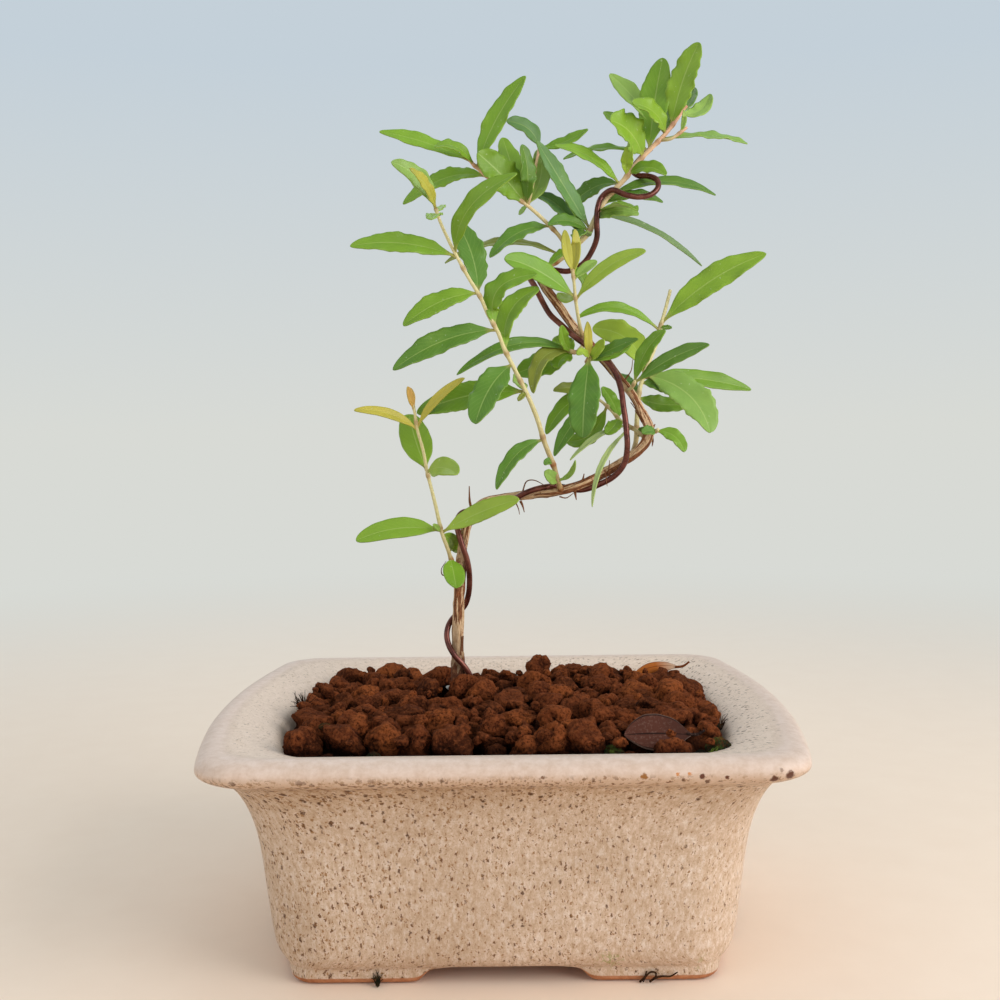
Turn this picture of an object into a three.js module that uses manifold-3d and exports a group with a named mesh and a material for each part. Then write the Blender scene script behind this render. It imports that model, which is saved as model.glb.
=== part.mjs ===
// A pomegranate bonsai: a wired tree in a speckled rectangular pot of clay granules.
// Millimetres, +Z up, origin under the middle of the pot, +Y towards the back of the pot.
import * as THREE from 'three';
import { mergeVertices } from 'three/addons/utils/BufferGeometryUtils.js';
import Module from 'manifold-3d';

const wasm = await Module();
wasm.setup();

// Driving dimensions
const potHeight = 60;
const potHalfWidth = 74.5;
const potHalfDepth = 63.5;
const potBow = 7.3; // how far the left and right sides bulge beyond the corners
const footHeight = 4.5;
const footGap = 42; // between the feet at the front and back
const sideFootGap = 34; // between the feet at the left and right
const footRidge = 11; // width of the L-shaped foot under each corner
const drainRadius = 5;
const drainOffset = 24;
const meshSize = 18;
const meshThickness = 1;
const soilLevel = 55.4; // at the pot's wall
const soilCrown = 58; // in the middle
const granuleSize = 11.2;
const trunkBaseRadius = 2.1;
const wireRadius = 0.8;
const bladeThickness = 0.9;
const clearance = 0.4; // between pieces that touch

const colours = {
  glaze: 0xd9cdbf, granule: 0x8a5a48, bark: 0xa58468, wire: 0x4a2a22, mesh: 0x2a2a28,
  leaf: 0x6f8a3c, dark: 0x4e6a34, young: 0xa8ad4e, purple: 0x4c3238, rust: 0x9a5f36,
};

const material = (colour, roughness, metalness = 0) =>
  new THREE.MeshStandardMaterial({ color: colour, roughness, metalness });

const vector = ([x, y, z]) => new THREE.Vector3(x, y, z);

// A seeded draw between 0 and 1
function makeRandom(seed) {
  let state = seed;
  return () => {
    state = (state * 1664525 + 1013904223) % 4294967296;
    return state / 4294967296;
  };
}

// Solids

function toSolid(geometry) {
  const bare = geometry.clone();
  bare.deleteAttribute('normal');
  bare.deleteAttribute('uv');
  const merged = mergeVertices(bare, 1e-4);
  return new wasm.Manifold(new wasm.Mesh({
    numProp: 3,
    vertProperties: new Float32Array(merged.attributes.position.array),
    triVerts: new Uint32Array(merged.index.array),
  }));
}

function toGeometry(solid) {
  const mesh = solid.getMesh();
  const geometry = new THREE.BufferGeometry();
  geometry.setAttribute('position', new THREE.BufferAttribute(mesh.vertProperties, 3));
  geometry.setIndex(new THREE.BufferAttribute(mesh.triVerts, 1));
  return geometry;
}

const join = (solids) => solids.reduce((whole, solid) => whole.add(solid));

// The largest body of a cut solid; slivers that the cut left loose are dropped
const mainBody = (solid) => solid.decompose().sort((a, b) => b.volume() - a.volume())[0];

// A closed surface over rings of points, every ring with the same count, with flat ends
function skin(rings, quadSplit) {
  const count = rings[0].length;
  const positions = rings.flat().flatMap((point) => point.toArray());
  const index = [];
  for (let ring = 0; ring < rings.length - 1; ring += 1) {
    for (let side = 0; side < count; side += 1) {
      const a = ring * count + side;
      const b = ring * count + ((side + 1) % count);
      const flip = quadSplit && quadSplit[side];
      if (flip) index.push(a, b, a + count, b, b + count, a + count);
      else index.push(a, b, b + count, a, b + count, a + count);
    }
  }
  const last = (rings.length - 1) * count;
  for (let side = 1; side < count - 1; side += 1) {
    index.push(0, side + 1, side);
    index.push(last, last + side, last + side + 1);
  }
  const geometry = new THREE.BufferGeometry();
  geometry.setAttribute('position', new THREE.Float32BufferAttribute(positions, 3));
  geometry.setIndex(index);
  return geometry;
}

// A tapered round stem: a cylinder bent along a smooth curve through the points
function stemGeometry(points, radiusAt, sides, steps) {
  const curve = new THREE.CatmullRomCurve3(points.map(vector), false, 'centripetal');
  const frames = curve.computeFrenetFrames(steps, false);
  const geometry = new THREE.CylinderGeometry(1, 1, 1, sides, steps);
  const position = geometry.attributes.position;
  for (let i = 0; i < position.count; i += 1) {
    const local = new THREE.Vector3().fromBufferAttribute(position, i);
    const along = Math.min(1, Math.max(0, local.y + 0.5));
    const step = Math.round(along * steps);
    const angle = Math.atan2(local.z, local.x);
    const radius = radiusAt(along, angle) * Math.hypot(local.x, local.z);
    const point = curve.getPointAt(along);
    point.addScaledVector(frames.normals[step], radius * Math.cos(angle));
    point.addScaledVector(frames.binormals[step], -radius * Math.sin(angle));
    position.setXYZ(i, point.x, point.y, point.z);
  }
  return geometry;
}

// The same points with both ends carried on a little further
function extended(points, extra) {
  const ends = [[0, 1], [points.length - 1, points.length - 2]];
  const longer = points.map((point) => [...point]);
  for (const [end, next] of ends) {
    const outward = vector(points[end]).sub(vector(points[next])).setLength(extra);
    longer[end] = vector(points[end]).add(outward).toArray();
  }
  return longer;
}

const taper = (from, to) => (along) => from + (to - from) * along;

// A round wire of one thickness along a smooth curve through the points
function wireGeometry(points, radius, sides, steps) {
  const section = new THREE.Shape();
  for (let side = 0; side < sides; side += 1) {
    const angle = (side / sides) * 2 * Math.PI;
    const corner = [radius * Math.cos(angle), radius * Math.sin(angle)];
    if (side === 0) section.moveTo(...corner);
    else section.lineTo(...corner);
  }
  section.closePath();
  const path = new THREE.CatmullRomCurve3(points.map(vector), false, 'centripetal');
  return new THREE.ExtrudeGeometry(section, { steps, extrudePath: path, bevelEnabled: false });
}

// Pot

// A rectangle with round corners, drawn in by inset, whose left and right sides bow out
function potOutline([insetX, insetY, corner, z]) {
  const halfX = potHalfWidth - potBow - insetX;
  const halfY = potHalfDepth - insetY;
  const cornerSteps = 4;
  const sideSteps = 5;
  const points = [];
  for (let quarter = 0; quarter < 4; quarter += 1) {
    const signX = quarter === 0 || quarter === 3 ? 1 : -1;
    const signY = quarter < 2 ? 1 : -1;
    for (let step = 0; step <= cornerSteps; step += 1) {
      const angle = ((quarter + step / cornerSteps) * Math.PI) / 2;
      points.push([
        signX * (halfX - corner) + corner * Math.cos(angle),
        signY * (halfY - corner) + corner * Math.sin(angle),
      ]);
    }
    const along = quarter % 2 === 1; // the left side follows the second corner, the right the last
    const next = (halfY - corner) * (quarter === 1 ? 1 : -1);
    for (let step = 1; along && step < sideSteps; step += 1) {
      points.push([signX * halfX, next * (1 - (2 * step) / sideSteps)]);
    }
  }
  return points.map(([x, y]) =>
    new THREE.Vector3(x * (1 + (potBow / halfX) * (1 - (y / halfY) ** 2)), y, z));
}

// Rings of the pot from the outer edge of its feet, up the wall, over the lip and down inside:
// how far each lies inside the widest outline in x and in y, its corner radius and its height
const potRings = [
  [17.4, 24.2, 9, 0], [16.8, 23.4, 10, 3], [14.8, 20.8, 11, 5.8], [14.4, 19.5, 12, 9.5],
  [12.2, 16.1, 12, 33], [10.8, 14.2, 12, 40], [8.7, 11.7, 11, 46.5], [6.4, 8, 10, 51.6],
  [3, 3.4, 9, 53.9], [0.5, 0.5, 8, 55.6], [0, 0, 8, 57.2], [0.8, 0.8, 8, 58.9],
  [2.6, 2.6, 8, 59.8], [4.8, 4.8, 8, potHeight], [9, 9, 9, 59.3], [13.2, 13.4, 11, 57.8],
  [15.2, 15.9, 12, 56.2], [16.2, 17, 12, 54.4], [19.6, 21.4, 11, 33], [22, 25, 10, 14],
  [26, 29, 9, 9.5],
];
const potFloor = 9.5;

function footRecess(width, reach, alongX) {
  const half = width / 2;
  const slope = footHeight * 0.9;
  const profile = new THREE.Shape();
  profile.moveTo(-half, -1);
  profile.lineTo(-half, 0);
  profile.quadraticCurveTo(-half + slope * 0.2, footHeight, -half + slope, footHeight);
  profile.lineTo(half - slope, footHeight);
  profile.quadraticCurveTo(half - slope * 0.2, footHeight, half, 0);
  profile.lineTo(half, -1);
  profile.closePath();
  const recess = new THREE.ExtrudeGeometry(profile, {
    depth: 2 * reach, bevelEnabled: false, curveSegments: 3,
  });
  recess.translate(0, 0, -reach);
  recess.rotateX(Math.PI / 2);
  if (alongX) recess.rotateZ(Math.PI / 2);
  return recess;
}

function makePot() {
  let pot = toSolid(skin(potRings.map(potOutline)));
  pot = pot.subtract(toSolid(footRecess(footGap, potHalfDepth, false)));
  pot = pot.subtract(toSolid(footRecess(sideFootGap, potHalfWidth, true)));
  const [footX, footY] = potRings[0];
  const under = [-1, footHeight].map((z) =>
    potOutline([footX + footRidge, footY + footRidge, 4, z]));
  pot = pot.subtract(toSolid(skin(under)));
  for (const side of [-1, 1]) {
    const hole = new THREE.CylinderGeometry(drainRadius, drainRadius, 4 * potFloor, 20);
    hole.rotateX(Math.PI / 2);
    hole.translate(side * drainOffset, 0, 0);
    pot = pot.subtract(toSolid(hole));
  }
  return pot;
}

// Drain mesh: a square of plastic netting over a drain hole
const meshGrow = (grow) => {
  const size = meshSize + 2 * grow;
  return new THREE.BoxGeometry(size, size, meshThickness + 2 * grow);
};
const meshHeight = potFloor + clearance + meshThickness / 2;

function makeDrainMesh(side) {
  let mesh = toSolid(meshGrow(0).translate(side * drainOffset, 0, meshHeight));
  const pitch = meshSize / 4;
  for (let column = -1; column <= 1; column += 1) {
    for (let row = -1; row <= 1; row += 1) {
      const opening = new THREE.BoxGeometry(pitch * 0.6, pitch * 0.6, 4 * meshThickness);
      opening.translate(side * drainOffset + column * pitch, row * pitch, meshHeight);
      mesh = mesh.subtract(toSolid(opening));
    }
  }
  return mesh;
}

// Trunk: points up its centre from under the soil to where the leafy apex begins
const trunkPoints = [
  [-12, 15, 36], [-12, 15, 50], [-12, 15, 63], [-12, 15, 73], [-12, 15, 84], [-11, 14.5, 95.5],
  [-10.5, 14, 102], [-8.5, 13.5, 107.5], [-4.5, 13, 111], [1.5, 12, 112.5], [9, 11, 113.5],
  [16.5, 10, 114.5], [24, 9, 117], [30, 8.5, 120.5], [36, 8, 124], [39.5, 8, 127.5],
  [40.5, 8.5, 131], [39, 9.5, 135], [36.5, 11, 140], [33, 13, 145], [29, 14.5, 150.5],
  [25, 16.5, 155], [21, 18, 159.5], [17, 19.5, 165.5], [13.5, 20.5, 170.5], [12, 21.5, 173.5],
];
const trunkSteps = 54;
const trunkSides = 8;

// Thickness along the trunk: flared at the soil, swollen at the elbow, with ridged bark
function trunkRadius(along, angle) {
  const flare = 0.6 * Math.exp(-(((along - 0.14) / 0.04) ** 2));
  const knuckle = 0.7 * Math.exp(-(((along - 0.7) / 0.035) ** 2));
  const ridge = 0.13 * Math.sin(3 * angle + 40 * along) + 0.09 * Math.sin(5 * angle - 63 * along);
  return trunkBaseRadius - 0.65 * along + flare + knuckle + ridge;
}

// Dead stubs and lifted bark: foot, tip and thickness at the foot
const trunkStubs = [
  [[-7.5, 13, 108.5], [-8.5, 12.5, 114.5], 0.8],
  [[3, 11.5, 112.5], [4, 12, 118.5], 0.9],
  [[3.5, 11.5, 112], [6, 11, 107], 0.7],
  [[20, 9.5, 115.5], [23.5, 10, 120.5], 0.8],
  [[39.5, 8.5, 132], [44, 9, 134], 0.9],
  [[13, 10.5, 114], [13.5, 10, 109], 0.7],
];

function trunkTube(grow) {
  const radiusAt = (along, angle) => trunkRadius(along, angle) + grow;
  return stemGeometry(extended(trunkPoints, grow), radiusAt, trunkSides, trunkSteps);
}

const stubSolid = ([foot, tip, radius], grow) =>
  toSolid(stemGeometry(extended([foot, tip], grow), taper(radius + grow, 0.25 + grow), 5, 1));

function makeTrunk(grow = 0) {
  return join([toSolid(trunkTube(grow)), ...trunkStubs.map((stub) => stubSolid(stub, grow))]);
}

// Training wire: points along its centre, from under the soil round the trunk to the apex
const wirePoints = [
  [-7.5, 14, 46], [-7.5, 13.5, 50.5], [-8, 13, 55], [-8, 12.5, 59], [-9.5, 11.5, 63.5],
  [-11.5, 11.5, 67], [-14, 12, 70.5], [-15.5, 14.5, 74], [-15, 17, 77], [-12, 18.5, 80],
  [-9.5, 17, 83.5], [-8.5, 15, 87], [-8.5, 13.5, 91], [-9, 12, 95], [-11, 11, 99],
  [-12.5, 11.5, 103], [-12.5, 13.5, 107], [-10, 15, 110], [-6.5, 16.5, 108.5], [-4, 13.5, 107.5],
  [-1.5, 10.5, 109.5], [1.5, 9, 112], [5, 8.5, 114.5], [8.5, 10, 116.5], [13, 11.5, 117],
  [17, 12.5, 116], [20.5, 12, 113.5], [23, 9, 113], [26, 7, 115], [30, 6.5, 117.5],
  [32.5, 5.5, 120.5], [33.5, 4.5, 125], [34, 4, 129], [33.5, 5, 133.5], [33.5, 6, 137.5],
  [33, 8, 141.5], [32, 10, 145.5], [30, 11, 149], [27, 12, 152], [23.5, 13.5, 154.5],
  [20.5, 15, 157], [17.5, 17, 160], [14.5, 18.5, 163], [12.5, 19.5, 166.5], [10.5, 19, 170.5],
  [9, 21.5, 174], [11.5, 24, 176], [16, 24.5, 176], [20, 23, 175.5], [24, 22.5, 177.5],
  [26.5, 22.5, 181], [27.5, 21.5, 185], [27, 20.5, 189], [26.5, 22, 193], [29, 22.5, 196.5],
  [32.5, 21, 197], [37, 21, 196], [41, 21.5, 197], [41.5, 23.5, 200.5], [39, 25.5, 203],
  [40.5, 26.5, 207], [43.5, 26.5, 210],
];
const wireSteps = 80;
const wireSides = 6;

const makeWire = (grow = 0) =>
  toSolid(wireGeometry(extended(wirePoints, grow), wireRadius + grow, wireSides, wireSteps));

// Soil: a bed that fills the pot, with granules fused to its top
const bedRings = [
  [26.6, 29.6, 9, potFloor + clearance], [22.6, 25.6, 10, 14], [20.1, 22, 11, 33],
  [16.9, 17.7, 12, 54], [17.8, 18.6, 11, soilLevel], [24, 24, 9, 56.8], [34, 34, 5, soilCrown],
];

// Height of the bed at a place, from its rings
function bedHeight(x, y) {
  const spread = Math.max(Math.abs(x) / (potHalfWidth - 18), Math.abs(y) / (potHalfDepth - 18));
  const rise = Math.min(1, Math.max(0, (1 - spread) / 0.35));
  return soilLevel + (soilCrown - soilLevel) * rise;
}

function makeGranules() {
  const random = makeRandom(7);
  const reachX = potHalfWidth - 21;
  const reachY = potHalfDepth - 20;
  const rows = 5; // before and behind the middle one
  const rowPitch = reachY / rows;
  const granules = [];
  for (let row = -rows; row <= rows; row += 1) {
    const y = row * rowPitch;
    const half = reachX - potBow * (y / reachY) ** 2 - Math.max(0, Math.abs(y) - reachY + 7) * 0.5;
    const count = Math.floor((2 * half) / granuleSize);
    for (let place = 0; place <= count; place += 1) {
      const x = (place - count / 2) * granuleSize + (row % 2 ? 0.2 : -0.2) * granuleSize;
      const size = (granuleSize / 2) * (0.74 + 0.22 * random());
      const granule = new THREE.IcosahedronGeometry(1, 0);
      granule.scale(size * (0.9 + 0.3 * random()), size * (0.85 + 0.3 * random()), size * 0.85);
      granule.rotateZ(random() * Math.PI);
      granule.rotateX(0.5 * random());
      const shift = granuleSize * 0.42;
      const atX = Math.max(-half, Math.min(half, x + (random() - 0.5) * shift));
      const atY = y + (random() - 0.5) * shift;
      granule.translate(atX, atY, bedHeight(atX, atY) - 0.1 * size + 0.5 * random());
      granules.push(toSolid(granule));
    }
  }
  return granules;
}

function makeSoil(holes) {
  const bed = toSolid(skin(bedRings.map(potOutline)));
  const keepIn = toSolid(skin(potInside.map(potOutline)));
  let soil = join([bed, ...makeGranules()]).intersect(keepIn);
  for (const hole of holes) soil = soil.subtract(hole);
  for (const side of [-1, 1]) {
    soil = soil.subtract(toSolid(meshGrow(clearance).translate(side * drainOffset, 0, meshHeight)));
  }
  return mainBody(soil);
}

// The room that the pot's inside leaves for the soil
const potInside = [
  [26.6, 29.6, 9, potFloor + clearance], [22.6, 25.6, 10, 14], [20.1, 22, 11, 33],
  [16.8, 17.6, 12, 54.4], [15.8, 16.5, 12, 56.7], [13.6, 13.8, 11, 58.4], [9, 9, 9, 60],
  [9, 9, 9, 70],
];

// Leaves

// A leaf grows at a place from 0 to 1 along its stem to its tip. Its face looks to the front,
// turned by some degrees upwards, and bend moves the middle of its rib sideways, back and up.
const leaf = (at, tip, width, turn, bend) => ({ at, tip, width, turn, bend });

// The blade's width at places along its rib, as a share of its widest
const longBlade = [[0, 0.16], [0.14, 0.36], [0.36, 0.94], [0.6, 1], [0.82, 0.66], [1, 0.1]];
const shortBlade = [[0, 0.18], [0.22, 0.66], [0.52, 1], [0.8, 0.7], [1, 0.14]];
const longBladeLength = 19;
const bladeFold = 0.16; // how far the edges rise beside the rib, of the half width
const bladeWave = 0.11; // how far the edges wave up and down, of the half width
const bladeSplit = [false, true, false, true];

function bladeGeometry(base, tip, width, turn, bend, grow = 0) {
  const middle = base.clone().add(tip).multiplyScalar(0.5);
  const rib = new THREE.QuadraticBezierCurve3(base, middle.addScaledVector(bend, 2), tip);
  const front = new THREE.Vector3(0, -1, 0);
  const lean = (turn * Math.PI) / 180;
  const shape = base.distanceTo(tip) > longBladeLength ? longBlade : shortBlade;
  const rings = shape.map(([along, wide], station) => {
    const tangent = rib.getTangent(along);
    const facing = front.clone().addScaledVector(tangent, -front.dot(tangent)).normalize();
    const across = new THREE.Vector3().crossVectors(tangent, facing);
    if (across.z < 0) across.negate();
    const normal = facing.multiplyScalar(Math.cos(lean)).addScaledVector(across, Math.sin(lean));
    const side = new THREE.Vector3().crossVectors(normal, tangent);
    const centre = rib.getPoint(along);
    const half = (width / 2) * wide + grow;
    const wave = half * bladeWave * (station % 2 ? 1 : -1);
    const thick = (bladeThickness / 2) * (0.6 + 0.4 * wide) + grow;
    return [
      centre.clone().addScaledVector(side, half).addScaledVector(normal, half * bladeFold + wave),
      centre.clone().addScaledVector(normal, thick),
      centre.clone().addScaledVector(side, -half).addScaledVector(normal, half * bladeFold - wave),
      centre.clone().addScaledVector(normal, -thick),
    ];
  });
  return skin(rings, bladeSplit);
}

const stemSides = 5;
const stemStep = 7;

const shoots = {
  lower_left_shoot: {
    colour: colours.leaf,
    branches: [
      {
        points: [
          [-12, 15, 92], [-13.5, 12.5, 95.5], [-14.5, 11, 99], [-16, 10, 103.5], [-17.5, 8.5, 111],
          [-19.5, 7, 120], [-20.5, 6, 126], [-22, 5, 132], [-22.5, 4.5, 136], [-23, 4.5, 138.5],
        ],
        radii: [1, 0.6],
        leaves: [
          leaf(0.11, [-12, 5, 89], 6, 24, [0, 0, 0]),
          leaf(0.28, [-39, 6, 102], 6, 29, [0, 0, 2]),
          leaf(0.27, [5, -1, 113], 5.5, 29, [0, 0, 1]),
          leaf(0.26, [-13, 20, 97], 4, 30, [1, 0, 0.5]),
          leaf(0.28, [-18, 6, 106], 1.5, 34, [0, 0, 0]),
          leaf(0.62, [-11, -8, 120], 6, 34, [0, 0, 1.5]),
          leaf(0.63, [-25, 18, 136], 8.5, 19, [-0.5, 0, 0]),
          leaf(0.86, [-38, -1, 137], 3, 35, [1, 0, 1.5]),
          leaf(0.87, [-9, -1, 145], 3.5, 30, [-1, 0, 1]),
          leaf(0.97, [-24, 2, 143], 2, 34, [0, 0, 0]),
          leaf(0.99, [-24, 9, 143], 2, 30, [0, 0, 0]),
        ],
      },
    ],
  },
  long_left_shoot: {
    colour: colours.leaf,
    branches: [
      {
        points: [
          [16.5, 9, 115], [15.5, 7, 118], [14.5, 5.5, 121.5], [12, 3.5, 128], [10, 2, 134.5],
          [7.5, 0.5, 140.5], [5.5, -0.5, 144.5], [3.5, -1.5, 148.5], [1.5, -2.5, 152.5],
          [0, -3.5, 156.5], [-2.5, -4.5, 161], [-4.5, -5.5, 165.5], [-7.5, -6.5, 170.5],
          [-10, -7.5, 175], [-12.5, -8, 180], [-14.5, -8.5, 184.5], [-15.5, -9, 187.5],
        ],
        radii: [1.1, 0.6],
        leaves: [
          leaf(0.19, [-1, -5, 116], 4.5, 34, [-1, 0, 2.5]),
          leaf(0.11, [12, 1, 122], 2, 24, [0, 0, 0.5]),
          leaf(0.03, [12, 2, 120], 3.5, 24, [0, 0, 0]),
          leaf(0.04, [20, 2, 123], 1.5, 30, [1, 0, -1]),
          leaf(0.36, [-22, 6, 136], 8, 29, [0, 0, 2]),
          leaf(0.36, [5, 9, 146], 4, 50, [-0.5, 0, 0]),
          leaf(0.36, [5, -2, 139], 1.5, 24, [0, 0, 0]),
          leaf(0.46, [-6, -14, 133], 8, 24, [-1, 0, 1.5]),
          leaf(0.58, [-27, -9, 147], 6.5, 24, [0, 0, 2.5]),
          leaf(0.58, [10, -8, 171], 6.5, 39, [-5, 0, 3]),
          leaf(0.5, [11, 5, 169], 6.5, 34, [-3.5, 1, 2]),
          leaf(0.71, [-24, -11, 158], 6, 29, [0, 0, 2]),
          leaf(0.71, [-11, 4, 187], 7.5, 29, [1.5, 0, 0]),
          leaf(0.84, [-37, -12, 178], 5.5, 24, [0, 0, 2]),
          leaf(0.85, [5, -19, 194], 6, 34, [-4, -1, 1.5]),
          leaf(0.98, [-16, -20, 183], 4, 24, [0, 0, 0.5]),
          leaf(0.99, [-14, 0, 190], 2.5, 30, [0, 0, 0]),
          leaf(1, [-26, -15, 198], 5, 24, [1.5, 0, 1.5]),
          leaf(1, [-21, -19, 195], 3.5, 45, [1, 0, 0.5]),
        ],
      },
    ],
  },
  upper_left_shoot: {
    colour: colours.leaf,
    branches: [
      {
        points: [
          [20, 22, 180.5], [17.5, 20.5, 184.5], [14.5, 19, 187.5], [8.5, 16.5, 192.5],
          [3.5, 14.5, 195.5], [-1, 12.5, 198.5], [-5.5, 11, 202], [-8.5, 10, 205],
        ],
        radii: [0.9, 0.6],
        leaves: [
          leaf(0.46, [-5, 8, 205], 9, 19, [0.5, 0, 0.5]),
          leaf(0.45, [12, 22, 209], 7, 29, [2, 0, 0]),
          leaf(0.46, [7, 12, 208], 5, 39, [1, -2, 0]),
          leaf(0.45, [2, 29, 214], 7, 24, [-0.5, 2, 1]),
          leaf(0.45, [6, 21, 191], 1.5, 30, [0, 0, 0]),
          leaf(0.88, [8, 8, 225], 6, 24, [-1.5, 0, 0.5]),
          leaf(0.95, [-31, 8, 211], 4.5, 29, [0, 0, 1]),
          leaf(0.91, [-16, 1, 205], 3.5, 34, [0.5, 0, 2.5]),
          leaf(0.79, [-26, 20, 194], 5.5, 34, [0.5, 0, 3.5]),
          leaf(0.23, [-2, 12, 178], 5, 34, [-0.5, 0, 2.5]),
        ],
      },
      {
        points: [
          [8.5, 16.5, 192.5], [10, 17.5, 198.5], [11, 18.5, 204.5], [12, 19, 209],
        ],
        radii: [0.7, 0.5],
        leaves: [
          leaf(0.98, [3, 15, 215], 5, 29, [1.5, 0, 1.5]),
          leaf(0.98, [25, 16, 213], 3.5, 34, [0, 0, -1]),
        ],
      },
    ],
  },
  apex_shoot: {
    colour: colours.leaf,
    branches: [
      {
        points: [
          [12, 21.5, 173.5], [14, 22, 176.5], [18.5, 22, 179.5], [22.5, 22.5, 183],
          [25.5, 22.5, 186], [27.5, 23, 190], [29, 23, 193], [31.5, 23.5, 196.5],
          [35.5, 23.5, 200.5], [39.5, 24, 205.5], [43.5, 24, 209.5], [47.5, 24, 213.5],
          [51, 24, 218], [53, 24, 221],
        ],
        radii: [1.45, 0.8],
        leaves: [
          leaf(0.89, [56, 20, 237], 7.5, 24, [-1, 0, 0]),
          leaf(0.85, [37, 13, 219], 6.5, 34, [1.5, 0, 1.5]),
          leaf(0.75, [47, 27, 235], 8.5, 22, [-0.5, 0, 0]),
          leaf(0.71, [31, 11, 214], 9.5, 24, [1, 0, 1.5]),
          leaf(0.85, [33, 35, 233], 6, 24, [-1, 0, 1.5]),
          leaf(0.74, [31, 34, 222], 4.5, 29, [-0.5, 0, 1.5]),
          leaf(0.6, [37, 18, 209], 3.5, 30, [-0.5, 0, 0]),
          leaf(0.55, [16, 13, 208], 4.5, 39, [1, 0, 2]),
          leaf(0.61, [46, 14, 200], 5, 34, [0, 0, 2]),
          leaf(0.55, [17, 32, 191], 5.5, 34, [1, 1, 4]),
          leaf(0.82, [70, 23, 210], 5, 60, [1.5, 0, 1.5]),
          leaf(0.96, [61, 31, 226], 4.5, 29, [1, 0, -2]),
          leaf(0.96, [57, 35, 229], 3, 34, [1, 0, 0]),
          leaf(0.86, [48, 32, 225], 4, 34, [0, 0, 0]),
          leaf(0.72, [19, 30, 208], 4.5, 60, [0, 0, 2.5]),
          leaf(0.48, [63, 33, 198], 4, 40, [0, 0, 4]),
          leaf(0.43, [47, 27, 195], 3.5, 34, [0, 0, 2.5]),
          leaf(0.36, [39, 17, 190], 4.5, 34, [-0.5, -1, 1.5]),
          leaf(0.38, [58, 27, 177], 3.5, 40, [0, 0, 3.5]),
          leaf(0.4, [38, 10, 190], 6, 70, [0, -2, 1]),
          leaf(0.28, [21, 12, 183], 5, 55, [0.5, 0, 1]),
          leaf(0.26, [10, 19, 196], 4.5, 34, [0, 0, 3]),
          leaf(0.28, [15, 29, 196], 4, 50, [0, 0, 1.5]),
          leaf(0.31, [11, 12, 209], 5.5, 29, [0, 0, 0]),
          leaf(0.3, [14, 14, 187], 4, 29, [0, 0, 2]),
          leaf(0.14, [-15, 30, 179], 4.5, 55, [0, 0, 5]),
          leaf(0.19, [14, 15, 176], 2.5, 30, [0, 0, 1]),
        ],
      },
      {
        points: [
          [46, 24, 211.5], [48.5, 22.5, 211.5], [51, 22, 213], [53, 22, 214.5],
        ],
        radii: [0.7, 0.5],
        leaves: [
          leaf(0.73, [52, 21, 219], 1.5, 30, [0.5, 0, 0]),
        ],
      },
    ],
  },
  young_shoot: {
    colour: colours.young,
    branches: [
      {
        points: [
          [23, 15.5, 157], [22, 12, 160.5], [21, 9.5, 166], [20.5, 8, 170.5], [20, 7.5, 174],
        ],
        radii: [0.8, 0.5],
        leaves: [
          leaf(0.61, [2, 0, 176], 6.5, 24, [-0.5, 0, 2]),
          leaf(0.58, [39, 2, 178], 4.5, 29, [-1, 0, 2]),
          leaf(0.62, [17, 18, 169], 4, 34, [0, 0, -1]),
          leaf(0.96, [24, 16, 171], 4.5, 34, [0.5, 0, 0.5]),
          leaf(0.86, [27, 13, 177], 3, 30, [0, 0, 0.5]),
          leaf(0.97, [18, 5, 184], 3, 29, [-0.5, 0, 0]),
          leaf(0.93, [21, 10, 185], 3, 34, [0.5, 0, 0]),
        ],
      },
    ],
  },
  front_spur: {
    colour: colours.dark,
    branches: [
      {
        points: [
          [26.5, 15.5, 152], [24.5, 13.5, 150], [24, 10.5, 149.5], [24.5, 8.5, 150.5],
        ],
        radii: [0.8, 0.7],
        leaves: [
          leaf(0.93, [24, 7, 160], 2.5, 24, [0, 0, 0]),
          leaf(0.78, [28, 5, 155], 3, 34, [0.5, 0, 0]),
          leaf(1, [21, 3, 151], 2.5, 34, [0, 0, 1]),
          leaf(1, [22, 1, 129], 8.5, 19, [-0.5, -2, 0]),
          leaf(0.64, [37, 3, 155], 3.5, 29, [0, 0, 0.5]),
          leaf(0.85, [36, 11, 154], 3, 30, [0.5, 0, -0.5]),
        ],
      },
    ],
  },
  left_spur: {
    colour: colours.dark,
    branches: [
      {
        points: [
          [24, 16.5, 155], [21.5, 15.5, 152.5], [19.5, 13, 152.5],
        ],
        radii: [0.9, 0.7],
        leaves: [
          leaf(0.94, [17, 7, 159], 3.5, 34, [-0.5, 0, -0.5]),
          leaf(0.94, [-11, 0, 146], 4, 35, [0.5, 0, 5]),
          leaf(0.81, [9, 2, 141], 5, 34, [-2.5, 0, 4]),
          leaf(0.73, [16, 19, 157], 5.5, 29, [0, 0, 0]),
          leaf(0.78, [5, 17, 147], 7.5, 24, [0.5, 0, 0]),
          leaf(0.73, [16, 9, 148], 5.5, 34, [-1, 0, 0.5]),
        ],
      },
    ],
  },
  inner_twig: {
    colour: colours.leaf,
    branches: [
      {
        points: [
          [39.5, 8, 128.5], [37, 12, 131], [33.5, 15, 133.5], [30, 17, 137.5], [27, 18, 140],
        ],
        radii: [0.8, 0.5],
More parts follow.
